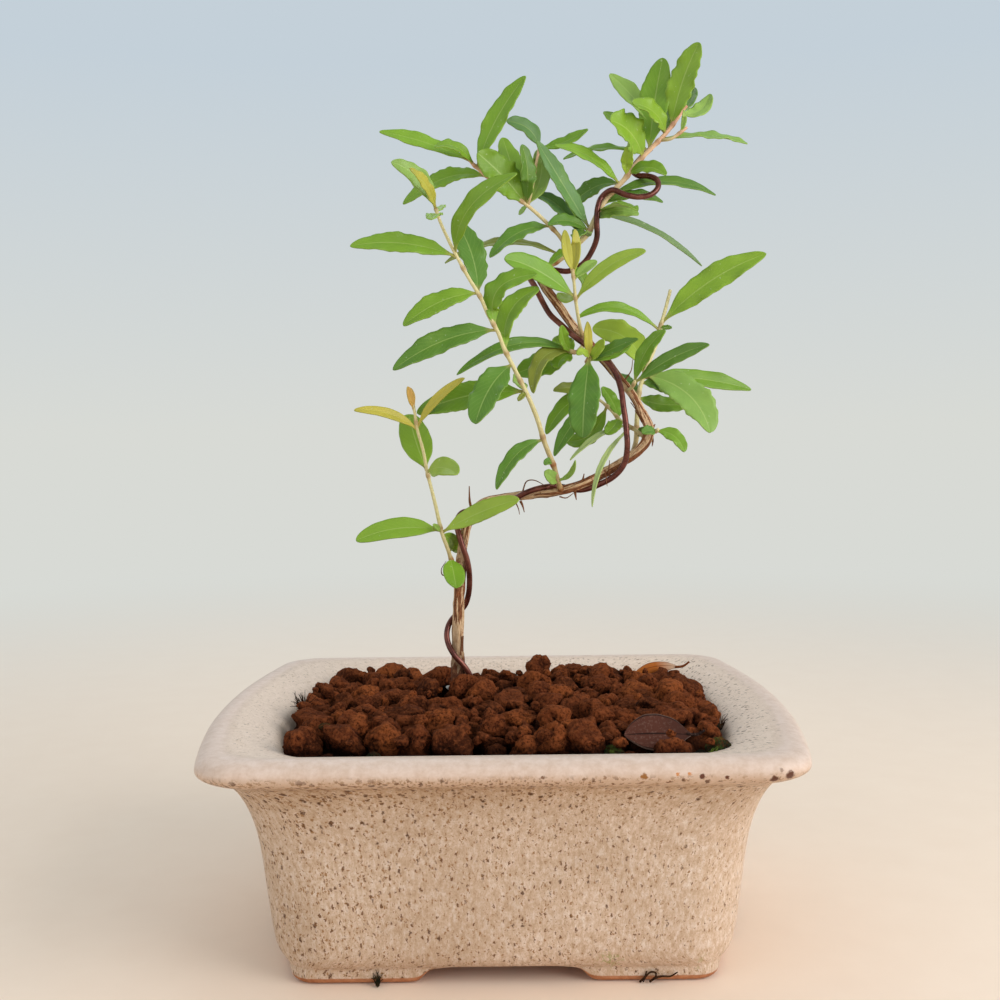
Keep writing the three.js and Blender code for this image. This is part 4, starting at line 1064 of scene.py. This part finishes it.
# each branch: its thickness at the foot and the tip, the points along its stem, and its leaves
# a leaf: its place along the stem from 0 to 1, its tip, its width, how far its face turns up in
# degrees, its green, and how far the middle of its rib is bent, or bent up
shoots = {
    "lower_left_shoot": [((0.58, 0.38), [
        (-12, 15, 92), (-13.5, 12.5, 95.5), (-14.5, 11, 99), (-16, 10, 103.5), (-17.5, 8.5, 111),
        (-19.5, 7, 120), (-20.5, 6, 126), (-22, 5, 132), (-22.5, 4.5, 136), (-23, 4.5, 138.5),
    ], [
        (0.11, (-12, 5, 89), 6, 24, "mid"), (0.28, (-39, 6, 102), 6, 29, "bright", 2),
        (0.27, (5, -1, 113), 5.5, 29, "lime", 1), (0.26, (-13, 20, 97), 4, 30, "bright", (1, 0, 0.5)),
        (0.28, (-18, 6, 106), 1.5, 34, "light"), (0.62, (-11, -8, 120), 6, 34, "lime", 1.5),
        (0.63, (-25, 18, 136), 8.5, 19, "bright", (-0.5, 0, 0)),
        (0.86, (-38, -1, 137), 3, 35, "yellow", (1, 0, 1.5)),
        (0.87, (-9, -1, 145), 2.7, 30, "yellow", (-1, 0, 1)), (0.97, (-24, 2, 143), 2, 34, "orange"),
        (0.99, (-24, 9, 143), 2, 30, "orange"),
    ])],
    "long_left_shoot": [((0.73, 0.4), [
        (16.5, 9, 115), (15.5, 7, 118), (14.5, 5.5, 121.5), (12, 3.5, 128), (10, 2, 134.5),
        (7.5, 0.5, 140.5), (5.5, -0.5, 144.5), (3.5, -1.5, 148.5), (1.5, -2.5, 152.5), (0, -3.5, 156.5),
        (-2.5, -4.5, 161), (-4.5, -5.5, 165.5), (-7.5, -6.5, 170.5), (-10, -7.5, 175), (-12.5, -8, 180),
        (-14.5, -8.5, 184.5), (-15.5, -9, 187.5),
    ], [
        (0.19, (-1, -5, 116), 4.5, 34, "dark", (-1, 0, 2.5)), (0.11, (12, 1, 122), 2, 24, "dark", 0.5),
        (0.03, (12, 2, 120), 3.5, 24, "light"), (0.04, (20, 2, 123), 1.5, 30, "light", (1, 0, -1)),
        (0.36, (-22, 6, 136), 8, 29, "mid", 2), (0.36, (5, 9, 146), 4, 50, "light", (-0.5, 0, 0)),
        (0.36, (5, -2, 139), 1.5, 24, "olive"), (0.46, (-6, -14, 133), 8, 24, "dark", (-1, 0, 1.5)),
        (0.58, (-27, -9, 147), 6.5, 24, "dark", 2.5), (0.58, (10, -8, 171), 6.5, 39, "mid", (-5, 0, 3)),
        (0.5, (11, 5, 169), 6.5, 34, "bright", (-3.5, 1, 2)), (0.71, (-24, -11, 158), 6, 29, "mid", 2),
        (0.71, (-11, 4, 187), 7.5, 29, "dark", (1.5, 0, 0)), (0.84, (-37, -12, 178), 5.5, 24, "bright", 2),
        (0.85, (5, -19, 194), 6, 34, "mid", (-4, -1, 1.5)), (0.98, (-16, -20, 183), 4, 24, "light", 0.5),
        (0.99, (-14, 0, 190), 2.5, 30, "light"), (1, (-26, -15, 198), 5, 24, "light", (1.5, 0, 1.5)),
        (1, (-21, -21.5, 195), 3.5, 45, "gold", (1, 0, 0.5)),
    ])],
    "upper_left_shoot": [((0.59, 0.4), [
        (20, 22, 180.5), (17.5, 20.5, 184.5), (14.5, 19, 187.5), (8.5, 16.5, 192.5), (3.5, 14.5, 195.5),
        (-1, 12.5, 198.5), (-5.5, 11, 202), (-8.5, 10, 205),
    ], [
        (0.46, (-5, 8, 205), 9, 19, "mid", (0.5, 0, 0.5)), (0.45, (12, 22, 209), 7, 29, "light", (2, 0, 0)),
        (0.46, (7, 12, 208), 5, 39, "dark", (1, -2, 0)),
        (0.45, (2, 29, 214), 7, 24, "bright", (-0.5, 2, 1)), (0.45, (6, 21, 191), 1.5, 30, "light"),
        (0.88, (8, 8, 225), 6, 24, "mid", (-1.5, 0, 0.5)), (0.95, (-31, 8, 211), 4.5, 29, "bright", 1),
        (0.91, (-16, 1, 205), 3.5, 34, "mid", (0.5, 0, 2.5)),
        (0.79, (-26, 20, 194), 5.5, 34, "mid", (0.5, 0, 3.5)),
        (0.23, (-2, 12, 178), 5, 34, "dark", (-0.5, 0, 2.5)),
    ]),
    ((0.46, 0.38), [
        (8.5, 16.5, 192.5), (10, 17.5, 198.5), (11, 18.5, 204.5), (12, 19, 209),
    ], [
        (0.98, (3, 15, 215), 5, 29, "blue", (1.5, 0, 1.5)), (0.98, (25, 16, 213), 3.5, 34, "mid", -1),
    ])],
    "apex_shoot": [((0.96, 0.53), [
        (12, 21.5, 173.5), (14, 22, 176.5), (18.5, 22, 179.5), (22.5, 22.5, 183), (25.5, 22.5, 186),
        (27.5, 23, 190), (29, 23, 193), (31.5, 23.5, 196.5), (35.5, 23.5, 200.5), (39.5, 24, 205.5),
        (43.5, 24, 209.5), (47.5, 24, 213.5), (51, 24, 218), (53, 24, 221),
    ], [
        (0.89, (56, 20, 237), 7.5, 24, "bright", (-1, 0, 0)),
        (0.85, (37, 13, 219), 6.5, 34, "bright", (1.5, 0, 1.5)),
        (0.75, (47, 27, 235), 8.5, 22, "mid", (-0.5, 0, 0)),
        (0.71, (31, 11, 214), 9.5, 24, "bright", (1, 0, 1.5)),
        (0.85, (33, 35, 233), 6, 24, "light", (-1, 0, 1.5)),
        (0.74, (31, 34, 222), 4.5, 29, "bright", (-0.5, 0, 1.5)),
        (0.6, (37, 18, 209), 3.5, 30, "lime", (-0.5, 0, 0)),
        (0.55, (16, 13, 208), 4.5, 39, "bright", (1, 0, 2)), (0.61, (46, 14, 200), 5, 34, "mid", 2),
        (0.55, (17, 32, 191), 5.5, 34, "dark", (1, 1, 4)),
        (0.82, (70, 23, 210), 5, 60, "light", (1.5, 0, 1.5)),
        (0.96, (61, 31, 226), 4.5, 29, "light", (1, 0, -2)),
        (0.96, (57, 35, 229), 3, 34, "dark", (1, 0, 0)), (0.86, (48, 32, 225), 4, 34, "light"),
        (0.72, (19, 30, 208), 4.5, 60, "mid", 2.5), (0.48, (63, 33, 198), 4, 40, "dark", 4),
        (0.43, (47, 27, 195), 3.5, 34, "dark", 2.5),
        (0.36, (39, 17, 190), 4.5, 34, "light", (-0.5, -1, 1.5)),
        (0.38, (58, 27, 177), 2.4, 40, "grey", 3.5), (0.4, (38, 10, 190), 6, 70, "mid", (0, -2, 1)),
        (0.28, (21, 12, 183), 5, 55, "dark", (0.5, 0, 1)), (0.26, (10, 19, 196), 4.5, 34, "blue", 3),
        (0.28, (15, 29, 196), 4, 50, "bright", 1.5), (0.31, (11, 12, 209), 5.5, 29, "blue"),
        (0.3, (14, 14, 187), 4, 29, "dark", 2), (0.14, (-15, 30, 179), 4.5, 55, "olive", 5),
        (0.19, (14, 15, 176), 2.5, 30, "mid", 1),
    ]),
    ((0.46, 0.38), [
        (46, 24, 211.5), (48.5, 22.5, 211.5), (51, 22, 213), (53, 22, 214.5),
    ], [
        (0.73, (52, 21, 219), 1.5, 30, "light", (0.5, 0, 0)),
    ])],
    "young_shoot": [((0.53, 0.38), [
        (23, 15.5, 157), (22, 12, 160.5), (21, 9.5, 166), (20.5, 8, 170.5), (20, 7.5, 174),
    ], [
        (0.61, (2, 0, 176), 6.5, 24, "mid", (-0.5, 0, 2)),
        (0.58, (39, 2, 178), 4.5, 29, "lime", (-1, 0, 2)), (0.62, (17, 18, 169), 4, 34, "lime", -1),
        (0.96, (24, 16, 171), 4.5, 34, "mid", (0.5, 0, 0.5)), (0.86, (27, 13, 177), 3, 30, "light", 0.5),
        (0.97, (18, 5, 184), 3, 29, "gold", (-0.5, 0, 0)),
        (0.93, (21, 10, 185), 3, 34, "yellow", (0.5, 0, 0)),
    ])],
    "front_spur": [((0.53, 0.46), [
        (26.5, 15.5, 152), (24.5, 13.5, 150), (24, 10.5, 149.5), (24.5, 8.5, 150.5),
    ], [
        (0.93, (24, 7, 160), 2.5, 24, "gold"), (0.78, (28, 5, 155), 3, 34, "lime", (0.5, 0, 0)),
        (1, (21, 3, 151), 2.5, 34, "lime", 1), (1, (22, 1, 129), 8.5, 19, "dark", (-0.5, -2, 0)),
        (0.64, (37, 3, 155), 3.5, 29, "dark", 0.5), (0.85, (36, 11, 154), 3, 30, "mid", (0.5, 0, -0.5)),
    ])],
    "left_spur": [((0.59, 0.46), [
        (24, 16.5, 155), (21.5, 15.5, 152.5), (19.5, 13, 152.5),
    ], [
        (0.94, (17, 7, 159), 3.5, 34, "bright", (-0.5, 0, -0.5)),
        (0.94, (-11, 0, 146), 4, 35, "dark", (0.5, 0, 5)),
        (0.81, (9, 2, 141), 5, 34, "olive", (-2.5, 0, 4)), (0.73, (16, 19, 157), 5.5, 29, "bright"),
        (0.78, (5, 17, 147), 7.5, 24, "mid", (0.5, 0, 0)),
        (0.73, (16, 9, 148), 5.5, 34, "mid", (-1, 0, 0.5)),
    ])],
    "inner_twig": [((0.53, 0.38), [
        (39.5, 8, 128.5), (37, 12, 131), (33.5, 15, 133.5), (30, 17, 137.5), (27, 18, 140),
    ], [
        (1, (15, 14, 142), 3.5, 24, "olive", 1.5), (1, (13, 19, 130), 5, 29, "mid", (-0.5, 0, 3.5)),
        (0.97, (15, 14, 124), 4.5, 29, "dark", (-0.5, 0, 1.5)),
        (0.81, (19, 24, 128), 5.5, 29, "mid", (1, 0, -3)), (0.57, (29, 10, 130), 4, 29, "mid", (0.5, 0, 0)),
        (0.57, (29, 21, 143), 4.5, 34, "mid", (1, 0, -0.5)), (0.39, (19, 8, 123), 2, 50, "pale", 2),
        (0.33, (24, -4, 111), 1.6, 40, "pale", (-2.5, -2, 1.5)),
    ])],
    "right_shoot": [((0.73, 0.46), [
        (36, 8.5, 124.5), (37.5, 13, 128), (38, 16, 131.5), (39, 19, 141), (40, 20, 144.5), (42, 21, 149.5),
        (44.5, 22, 155.5), (45.5, 22.5, 159.5), (47, 23, 164.5), (48.5, 23.5, 170),
    ], [
        (0.77, (22, 17, 162), 3.5, 35, "mid", 4.5), (0.81, (74, 17, 179), 7.5, 19, "bright", (-1, 0, 2)),
        (0.79, (48, 18, 159), 1.5, 24, "mid"), (0.51, (57, 8, 130), 10, 24, "light", (3, 0, 2.5)),
        (0.49, (72, 27, 142), 5.5, 29, "mid", 1.5), (0.38, (54, 23, 138), 5, 29, "mid", (-1, 1, -1)),
        (0.46, (47, 18, 141), 4.5, 34, "dark", (1, 0, 1)),
        (0.4, (35, 26, 147), 4.5, 34, "dark", (-0.5, 0, 0)),
        (0.51, (27, 29, 160), 8.5, 24, "lime", (3, 0, 3)), (0.16, (40, 12, 131), 2.5, 34, "dark"),
    ])],
    "right_spur": [((0.53, 0.4), [
        (35, 11.5, 141.5), (36, 8, 142.5), (36.5, 6, 144),
    ], [
        (0.85, (44, 1, 157), 4.5, 39, "mid", (-1, 0, 1.5)), (0.85, (55, -2, 153), 4.5, 29, "dark", 1.5),
    ])],
    "corner_spur": [((0.53, 0.4), [
        (41, 8, 130), (42, 5.5, 130.5), (42.5, 4.5, 131),
    ], [
        (0.7, (49, 1, 125), 4, 29, "bright", (1, 0, 1.5)), (0.7, (38, 1, 130), 3, 34, "dark", 0.5),
    ])],
}

# the greens of the leaves; some leaves take a lighter green as painted light where they lie in shade, and
# some a darker one as painted shade where the light falls full on them
leafGreens = {
    "bright": (126, 161, 40),
    "mid": (113, 151, 32),
    "dark": (88, 126, 38),
    "light": (141, 174, 78),
    "lime": (156, 180, 58),
    "yellow": (187, 173, 64),
    "gold": (176, 167, 60),
    "orange": (206, 160, 84),
    "olive": (130, 135, 48),
    "blue": (88, 127, 64),
    "grey": (112, 134, 82),
    "pale": (168, 182, 112),
}

bladeShape = {
    # half widths along a leaf, of its greatest
    "long": [(0, 0.12), (0.05, 0.1), (0.12, 0.3), (0.24, 0.72), (0.4, 0.96), (0.56, 1), (0.72, 0.91),
             (0.86, 0.72), (0.94, 0.5), (0.985, 0.26), (1, 0.05)],
    "short": [(0, 0.14), (0.06, 0.12), (0.14, 0.4), (0.28, 0.8), (0.46, 1), (0.66, 0.97),
              (0.82, 0.8), (0.93, 0.52), (0.985, 0.26), (1, 0.05)],
    "dry": [(0, 0.06), (0.05, 0.2), (0.2, 0.66), (0.4, 0.96), (0.56, 1), (0.74, 0.86), (0.88, 0.54),
            (0.96, 0.24), (1, 0.03)],
    "longFrom": 19,
    "petiole": 0.7,  # least width
    "fold": 0.16,
    "wave": 0.13,
    "scallop": (0.01, 0.075),  # how far the edge goes in and out, of the half width
    "scallopLength": (2.4, 4.2),
    "pointed": (0.34, 0.68),  # how much a slender leaf narrows towards its tip, and from where
    "groove": (0.16, 0.09),  # how deep the rib lies, and how wide it is, of the half width
    "waves": (1.6, 3),
    "curl": (-0.4, 0.9),
    "shades": (0.92, 1.08),
    "warmths": (0.96, 1.06),
    "thickness": 0.3,
    "steps": 40,
    "lanes": 10,
}


def widthAt(shape, along):
    # the half width at a place along the leaf, on a smooth curve through the listed ones
    number = next(number for number in range(1, len(shape)) if along <= shape[number][0] + 1e-9)
    (start, low), (end, high) = shape[number - 1], shape[number]
    before, after = shape[max(0, number - 2)], shape[min(len(shape) - 1, number + 1)]
    reach = end - start
    leave = (high - before[1]) / (end - before[0]) * reach
    arrive = (after[1] - low) / (after[0] - start) * reach
    s = (along - start) / reach
    curve = low + s * s * (3 - 2 * s) * (high - low)
    return max(0, curve + s * (1 - s) ** 2 * leave - s * s * (1 - s) * arrive)


def makeBlade(base, tip, width, turn, bend, green, seed, dryFold=None, lively=1):
    # a flat grid drawn along the leaf's rib, folded and waved; a dry one has a plain edge
    base, tip = Vector(base), Vector(tip)
    length = (tip - base).length
    middle = (base + tip) / 2 + Vector(bend) * 2
    draw = random.Random(seed)
    phase, waves, curl = [draw.uniform(*limits) for limits in
                          ((0, 6.28), bladeShape["waves"], bladeShape["curl"])]
    if dryFold is None:
        form = "long" if length > bladeShape["longFrom"] else "short"
        fold = bladeShape["fold"]
        scallop = draw.uniform(*bladeShape["scallop"]) * lively * min(1, length / 14)
        ripple = bladeShape["wave"] * (0.1 + 0.9 * lively)
    else:
        form, fold, scallop, ripple = "dry", dryFold, 0, 0.2 * bladeShape["wave"]
    scallops = length / draw.uniform(*bladeShape["scallopLength"]) * 2 * math.pi
    blade = beginGrid(bladeShape["steps"], bladeShape["lanes"])
    narrowing, narrowsFrom = bladeShape["pointed"]
    narrowing *= lively * clamp((0.36 - width / length) / 0.14)
    deep, wide = bladeShape["groove"]
    lean = math.radians(turn)
    fades = []
    for vertex in blade.data.vertices:
        along, across = 1 - (0.5 - vertex.co.x) ** 1.25, vertex.co.y * 2
        centre = base * (1 - along) ** 2 + middle * 2 * along * (1 - along) + tip * along ** 2
        tangent = ((middle - base) * (1 - along) + (tip - middle) * along).normalized()
        facing = Vector((0, -1, 0))
        facing = (facing - tangent * facing.dot(tangent)).normalized()
        upward = tangent.cross(facing)
        if upward.z < 0:
            upward.negate()
        normal = facing * math.cos(lean) + upward * math.sin(lean)
        side = normal.cross(tangent)
        full = width * widthAt(bladeShape[form], along)
        half = max(bladeShape["petiole"] * min(1, (1 - along) * 9), full) / 2
        bay = math.sin(scallops * along + phase + (1.3 if across > 0 else 0))
        half *= 1 + scallop * bay * min(1, 5 * along * (1 - along))
        half *= 1 - narrowing * max(0, (along - narrowsFrom) / (1 - narrowsFrom)) ** 1.5
        wave = math.sin(waves * 6.28 * along + phase) * across
        wave += 0.5 * math.sin(waves * 13 * along) * abs(across)
        rise = half * (fold * abs(across) ** 1.4 + ripple * wave * abs(across))
        groove = -deep * math.exp(-(across / wide) ** 2) * min(1, half / 1.5)
        droop = -curl * max(0, along - 0.6) ** 2 * width * 0.3
        vertex.co = (centre + side * half * across + normal * (rise + groove + droop)) * mm
        fades.append(1 + 0.1 * (0.5 - along))
    colours = blade.data.attributes.new("green", "FLOAT_COLOR", "POINT").data
    shade, warm = draw.uniform(*bladeShape["shades"]), draw.uniform(*bladeShape["warmths"])
    red, mid, blue, _ = paint(leafGreens[green])
    for point, fade in zip(colours, fades):
        point.color = (red * shade * fade * warm, mid * shade * fade, blue * shade * fade, 1)
    blade.data.uv_layers[0].name = "bladeMap"
    return blade


shootLook = {
    "blush": {"apex_shoot": 0.95, "upper_left_shoot": 0.8},  # how pink the tip is
    "plainBlush": 0.06,
    "slots": {"young_shoot": "leaf_young", "inner_twig": "leaf_dark"},
    "calm": ("young_shoot", "lower_left_shoot"),  # smoother, flatter leaves
    "stemTones": [(0.3, (190, 172, 108)), (0.5, (214, 202, 144)), (0.72, (228, 220, 172))],
    # colours that lie over a leaf: clouds, side veins, the rib, the edge and the foot, then dust
    "leafLayers": [
        ("cloud", (0.35, 0.16), (0.6, 0.0), (70, 104, 30)),
        ("cloud", (0.55, 0.0), (0.8, 0.14), (170, 190, 84)),
        ("stripes", (0.8, 0.0), (1.0, 0.09), (166, 190, 96)),
        ("across", (0.008, 0.38), (0.028, 0.0), (184, 200, 116)),
        ("across", (0.47, 0.0), (0.5, 0.25), (164, 188, 84)),
        ("along", (0.02, 0.7), (0.1, 0.0), (176, 150, 92)),
    ],
    "dust": [("dust", (0.7, 0.0), (0.74, 0.3), (208, 216, 184))],
    "underside": (178, 196, 136),
}


def makeShoot(node, branches):
    stems, blades = [], []
    lively = 0.2 if node in shootLook["calm"] else 1
    blush = shootLook["blush"].get(node, shootLook["plainBlush"])
    for (first, last), stem, leaves in branches:
        length = sum((Vector(b) - Vector(a)).length for a, b in zip(stem, stem[1:]))
        path = smoothPath(stem, max(12, int(length * 1.5)))
        joints = sorted({round(leaf[0], 1) for leaf in leaves})

        def knotAt(along, angle):
            return min(1, sum(swelling(along, 1, joint, 0.8 / length) for joint in joints))

        def radiusAt(along, angle):
            grain = 0.05 * noise.noise(Vector((angle * 2, along * length * 0.6, first * 9)))
            return first + (last - first) * along + 0.2 * knotAt(along, angle) + grain

        tube = rollTube("stem", path, radiusAt, 12)
        markAlong(tube, "knot", lambda along, angle: knotAt(along, angle) + swelling(along, 1, 0, 0.2))
        markAlong(tube, "blush", lambda along, angle: along ** 1.5 * blush)
        stems.append(tube)
        for number, (place, tip, width, turn, green, *bends) in enumerate(leaves):
            bend = bends[0] if bends else 0
            bend = bend if isinstance(bend, tuple) else (0, 0, bend)
            seed = number * 7 + len(stem)
            base = placeOn(path, place) / mm
            blades.append(makeBlade(base, tip, width, turn, bend, green, seed, lively=lively))
    foliage = dress(joined(blades, node + "Leaves"), *leafMaterials)
    thick = foliage.modifiers.new("thick", "SOLIDIFY")
    thick.thickness = bladeShape["thickness"] * mm
    thick.offset = -0.5
    thick.material_offset = 1
    applyModifiers(foliage)
    bpy.ops.object.shade_smooth()
    wood = dress(joined(stems, node + "Stem"), stemMaterial)
    for piece in (foliage, wood):
        finishPiece(piece, shootLook["slots"].get(node, "leaf_green"), node)


def placeOnBlade(look):
    # how far along and how far from the rib
    place = look.add("UVMap", 0, uv_map="bladeMap")
    across = look.calculate("ABSOLUTE", look.minus(look.axis(place, "Y"), 0.5))
    return look.axis(place, "X"), across


def leafMaterial(name, under):
    look = newFinish(name, 0.6 if under else 0.46, 0.25 if under else 0.35)
    along, across = placeOnBlade(look)
    solid = look.coords()
    lean = look.minus(along, look.times(across, 0.45))  # side veins lean towards the tip
    values = {
        "cloud": look.noise(solid, 150, 3, 0.5),
        "stripes": look.calculate("SINE", look.times(lean, 84)),
        "across": across,
        "along": along,
        "dust": look.noise(solid, 1300, 2, 0.5),
    }
    tone = look.layered(look.mark("green", "Color"), values, shootLook["leafLayers"])
    if under:
        tone = look.mix(0.3, tone, shootLook["underside"])
    else:
        tone = look.layered(tone, values, shootLook["dust"])
    look.surface("Base Color", tone)
    look.bump(values["cloud"], 0.06, 0.2)
    return look.owner


def makeStemMaterial():
    look = newFinish("youngStem", 0.55, 0.35)
    grain = look.noise(look.stretched(look.coords("UV"), 14, 6, 1), 4, 4)
    tone = look.ramp(grain, *shootLook["stemTones"])
    patches = look.noise(look.coords(), 120, 4)
    tone = look.over(tone, (172, 132, 82), patches, (0.58, 0.0), (0.8, 0.4))
    tone = look.mix(look.mark("blush"), tone, (230, 168, 142))
    tone = look.mix(look.times(look.mark("knot"), 0.6), tone, (150, 98, 56))
    look.surface("Base Color", tone)
    look.bump(grain, 0.08, 0.5)
    return look.owner


# Fallen leaves

fallenLeaves = {
    "fallen_leaf_purple": {
        "stalk": (44.4, -38, 59.2), "tip": (28.6, -39, 59.6), "width": 10, "turn": 48, "bend": (0, 0, 0.3),
        "fold": 0.14, "face": (84, 48, 37), "dust": (146, 116, 102), "vein": (36, 22, 18),
        "edge": (140, 112, 98), "under": (110, 86, 76), "neck": (66, 38, 30),
    },
    "fallen_leaf_rust": {
        "stalk": (52.8, 39.5, 59.9), "tip": (39.4, 38, 58.3), "width": 3.8, "turn": 40,
        "bend": (0, 0, 1.2), "fold": -0.4, "face": (168, 92, 38), "dust": (122, 62, 28),
        "vein": (104, 52, 24), "edge": (96, 50, 24), "under": (196, 170, 148),
        "neck": (190, 162, 136),
    },
}


def makeFallenLeaf(node, leaf):
    leafGreens[node] = leaf["face"]
    stalkEnd, tip = Vector(leaf["stalk"]), Vector(leaf["tip"])
    blade = makeBlade(stalkEnd, tip, leaf["width"], leaf["turn"], leaf["bend"], node, 3, leaf["fold"])
    thick = blade.modifiers.new("thick", "SOLIDIFY")
    thick.thickness = 0.35 * mm
    thick.material_offset = 1
    dress(blade, *[dryLeafMaterial(node + name, leaf, leaf[name.lower()]) for name in ("Face", "Under")])
    applyModifiers(blade)
    bpy.ops.object.shade_smooth()
    outwards(blade)
    along = (stalkEnd - tip).normalized()
    points = [stalkEnd - along, stalkEnd + along * 1.6, stalkEnd + along * 3.4 + Vector((0, 0, 1))]
    stalk = dress(thread(points, 12, 0.42, 0.12, 8), dryLeafMaterial(node + "Stalk", leaf, leaf["vein"]))
    whole = joined([stalk, blade], node.replace("fallen_leaf_", "") + "FallenLeaf")
    finishPiece(whole, "dry_leaf", node)


def dryLeafMaterial(name, leaf, shade):
    look = newFinish(name, 0.85, 0.08)
    dust = look.noise(look.coords(), 1500, 6, 0.75)
    tone = look.over(shade, leaf["dust"], dust, (0.52, 0.0), (0.7, 0.45))
    if not name.endswith("Stalk"):
        along, across = placeOnBlade(look)
        for part, value, start, end in (
            ("neck", along, (0.12, 0.75), (0.42, 0.0)), ("vein", across, (0.012, 0.95), (0.035, 0.0)),
            ("vein", across, (0.44, 0.0), (0.46, 0.8)), ("edge", across, (0.478, 0.0), (0.492, 0.5)),
        ):
            tone = look.over(tone, leaf[part], value, start, end)
    look.surface("Base Color", tone)
    look.bump(dust, 0.2, 0.7)
    return look.owner


# Dark tufts

# fine rootlets and moss: where each tuft starts, which way it spreads, strands, their length, colour
darkTufts = {
    "leftFootTuft": [((-30.3, -40.4, 0.5), (-0.2, 0, 2), 26, (1.8, 3.8), "moss")],
    "rightFootTuft": [],
    "soilLitter": [
        ((-52.4, -4, 58.6), (-0.35, -0.1, 1), 40, (2.4, 6), "root"),
        ((54, -24, 57.6), (0, -0.1, 1), 7, (2.2, 4), "root"),
        ((48.5, -45, 56.5), (0.2, -0.2, 1), 14, (1, 2.4), "fresh"),
    ],
}

# dead rootlets that cling to a foot: points along each
clingingRoots = {
    "rightFootTuft": [
        [(31.9, -40.1, 0.4), (33, -40.3, 1.6), (33.5, -40.3, 3.1)],
        [(34.2, -40.3, 0.5), (35.6, -40.4, 1.7), (35.6, -40.4, 2.7), (34.5, -40.4, 2.9), (33.4, -40.3, 1.9),
         (32.7, -40.1, 0.4)],
        [(35, -40.3, 1.2), (37, -40.3, 1.8), (39.1, -40.3, 1.8), (40.8, -40.4, 2.8)],
    ],
}

tuftColours = {"moss": (30, 32, 22), "root": (38, 19, 11), "fresh": (88, 104, 44)}


def makeTufts(name, tufts, seed):
    draw = random.Random(seed)
    strands = []
    for points in clingingRoots.get(name, []):
        strands.append(dress(thread(points, 24, 0.3, 0.14, 6), tuftMaterials["root"]))
    for start, spread, count, lengths, kind in tufts:
        for _ in range(count):
            foot = Vector(start) + scatter(draw, 1) * 0.5
            foot.z = max(0.2, foot.z)
            way = (Vector(spread) + scatter(draw, 0.9)).normalized()
            way.z = abs(way.z)
            middle = foot + way * draw.uniform(*lengths) * 0.5
            end = middle + (way + scatter(draw, 0.7)) * lengths[0] * 0.6
            end.z = max(0.4, end.z)
            strands.append(dress(thread([foot, middle, end], 5, 0.16, 0.1, 4), tuftMaterials[kind]))
    finishPiece(joined(strands, name), "bark" if name == "soilLitter" else "leaf_dark")


def tuftMaterial(kind):
    look = newFinish(kind + "Tuft", 1, 0.05)
    patches = look.noise(look.coords(), 700, 3)
    tone = look.over(tuftColours[kind], (96, 72, 46), patches, (0.4, 0.0), (0.7, 0.4))
    look.surface("Base Color", tone)
    return look.owner


# Drain meshes

def dressDrainMeshes():
    look = newFinish("blackNetting", 0.6, 0.4)
    solid = look.coords()
    patches = look.noise(solid, 300)
    look.surface("Base Color", look.ramp(patches, (0.3, (30, 30, 29)), (0.7, (52, 52, 50))))
    look.bump(look.noise(solid, 900), 0.05, 0.5)
    for node in ("drain_mesh_left", "drain_mesh_right"):
        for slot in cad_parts[node].material_slots:
            slot.material = look.owner


placeCamera()
makeStudio()
makePot()
makeSoil()
makeTrunk()
makeWire()
leafMaterials = [leafMaterial("leafFace", False), leafMaterial("leafBack", True)]
stemMaterial = makeStemMaterial()
for node, branches in shoots.items():
    makeShoot(node, branches)
print("shoots ready", len(shoots))
for node, leaf in fallenLeaves.items():
    makeFallenLeaf(node, leaf)
tuftMaterials = {kind: tuftMaterial(kind) for kind in tuftColours}
for seed, (name, tufts) in enumerate(darkTufts.items()):
    makeTufts(name, tufts, seed)
dressDrainMeshes()
print("small things ready")
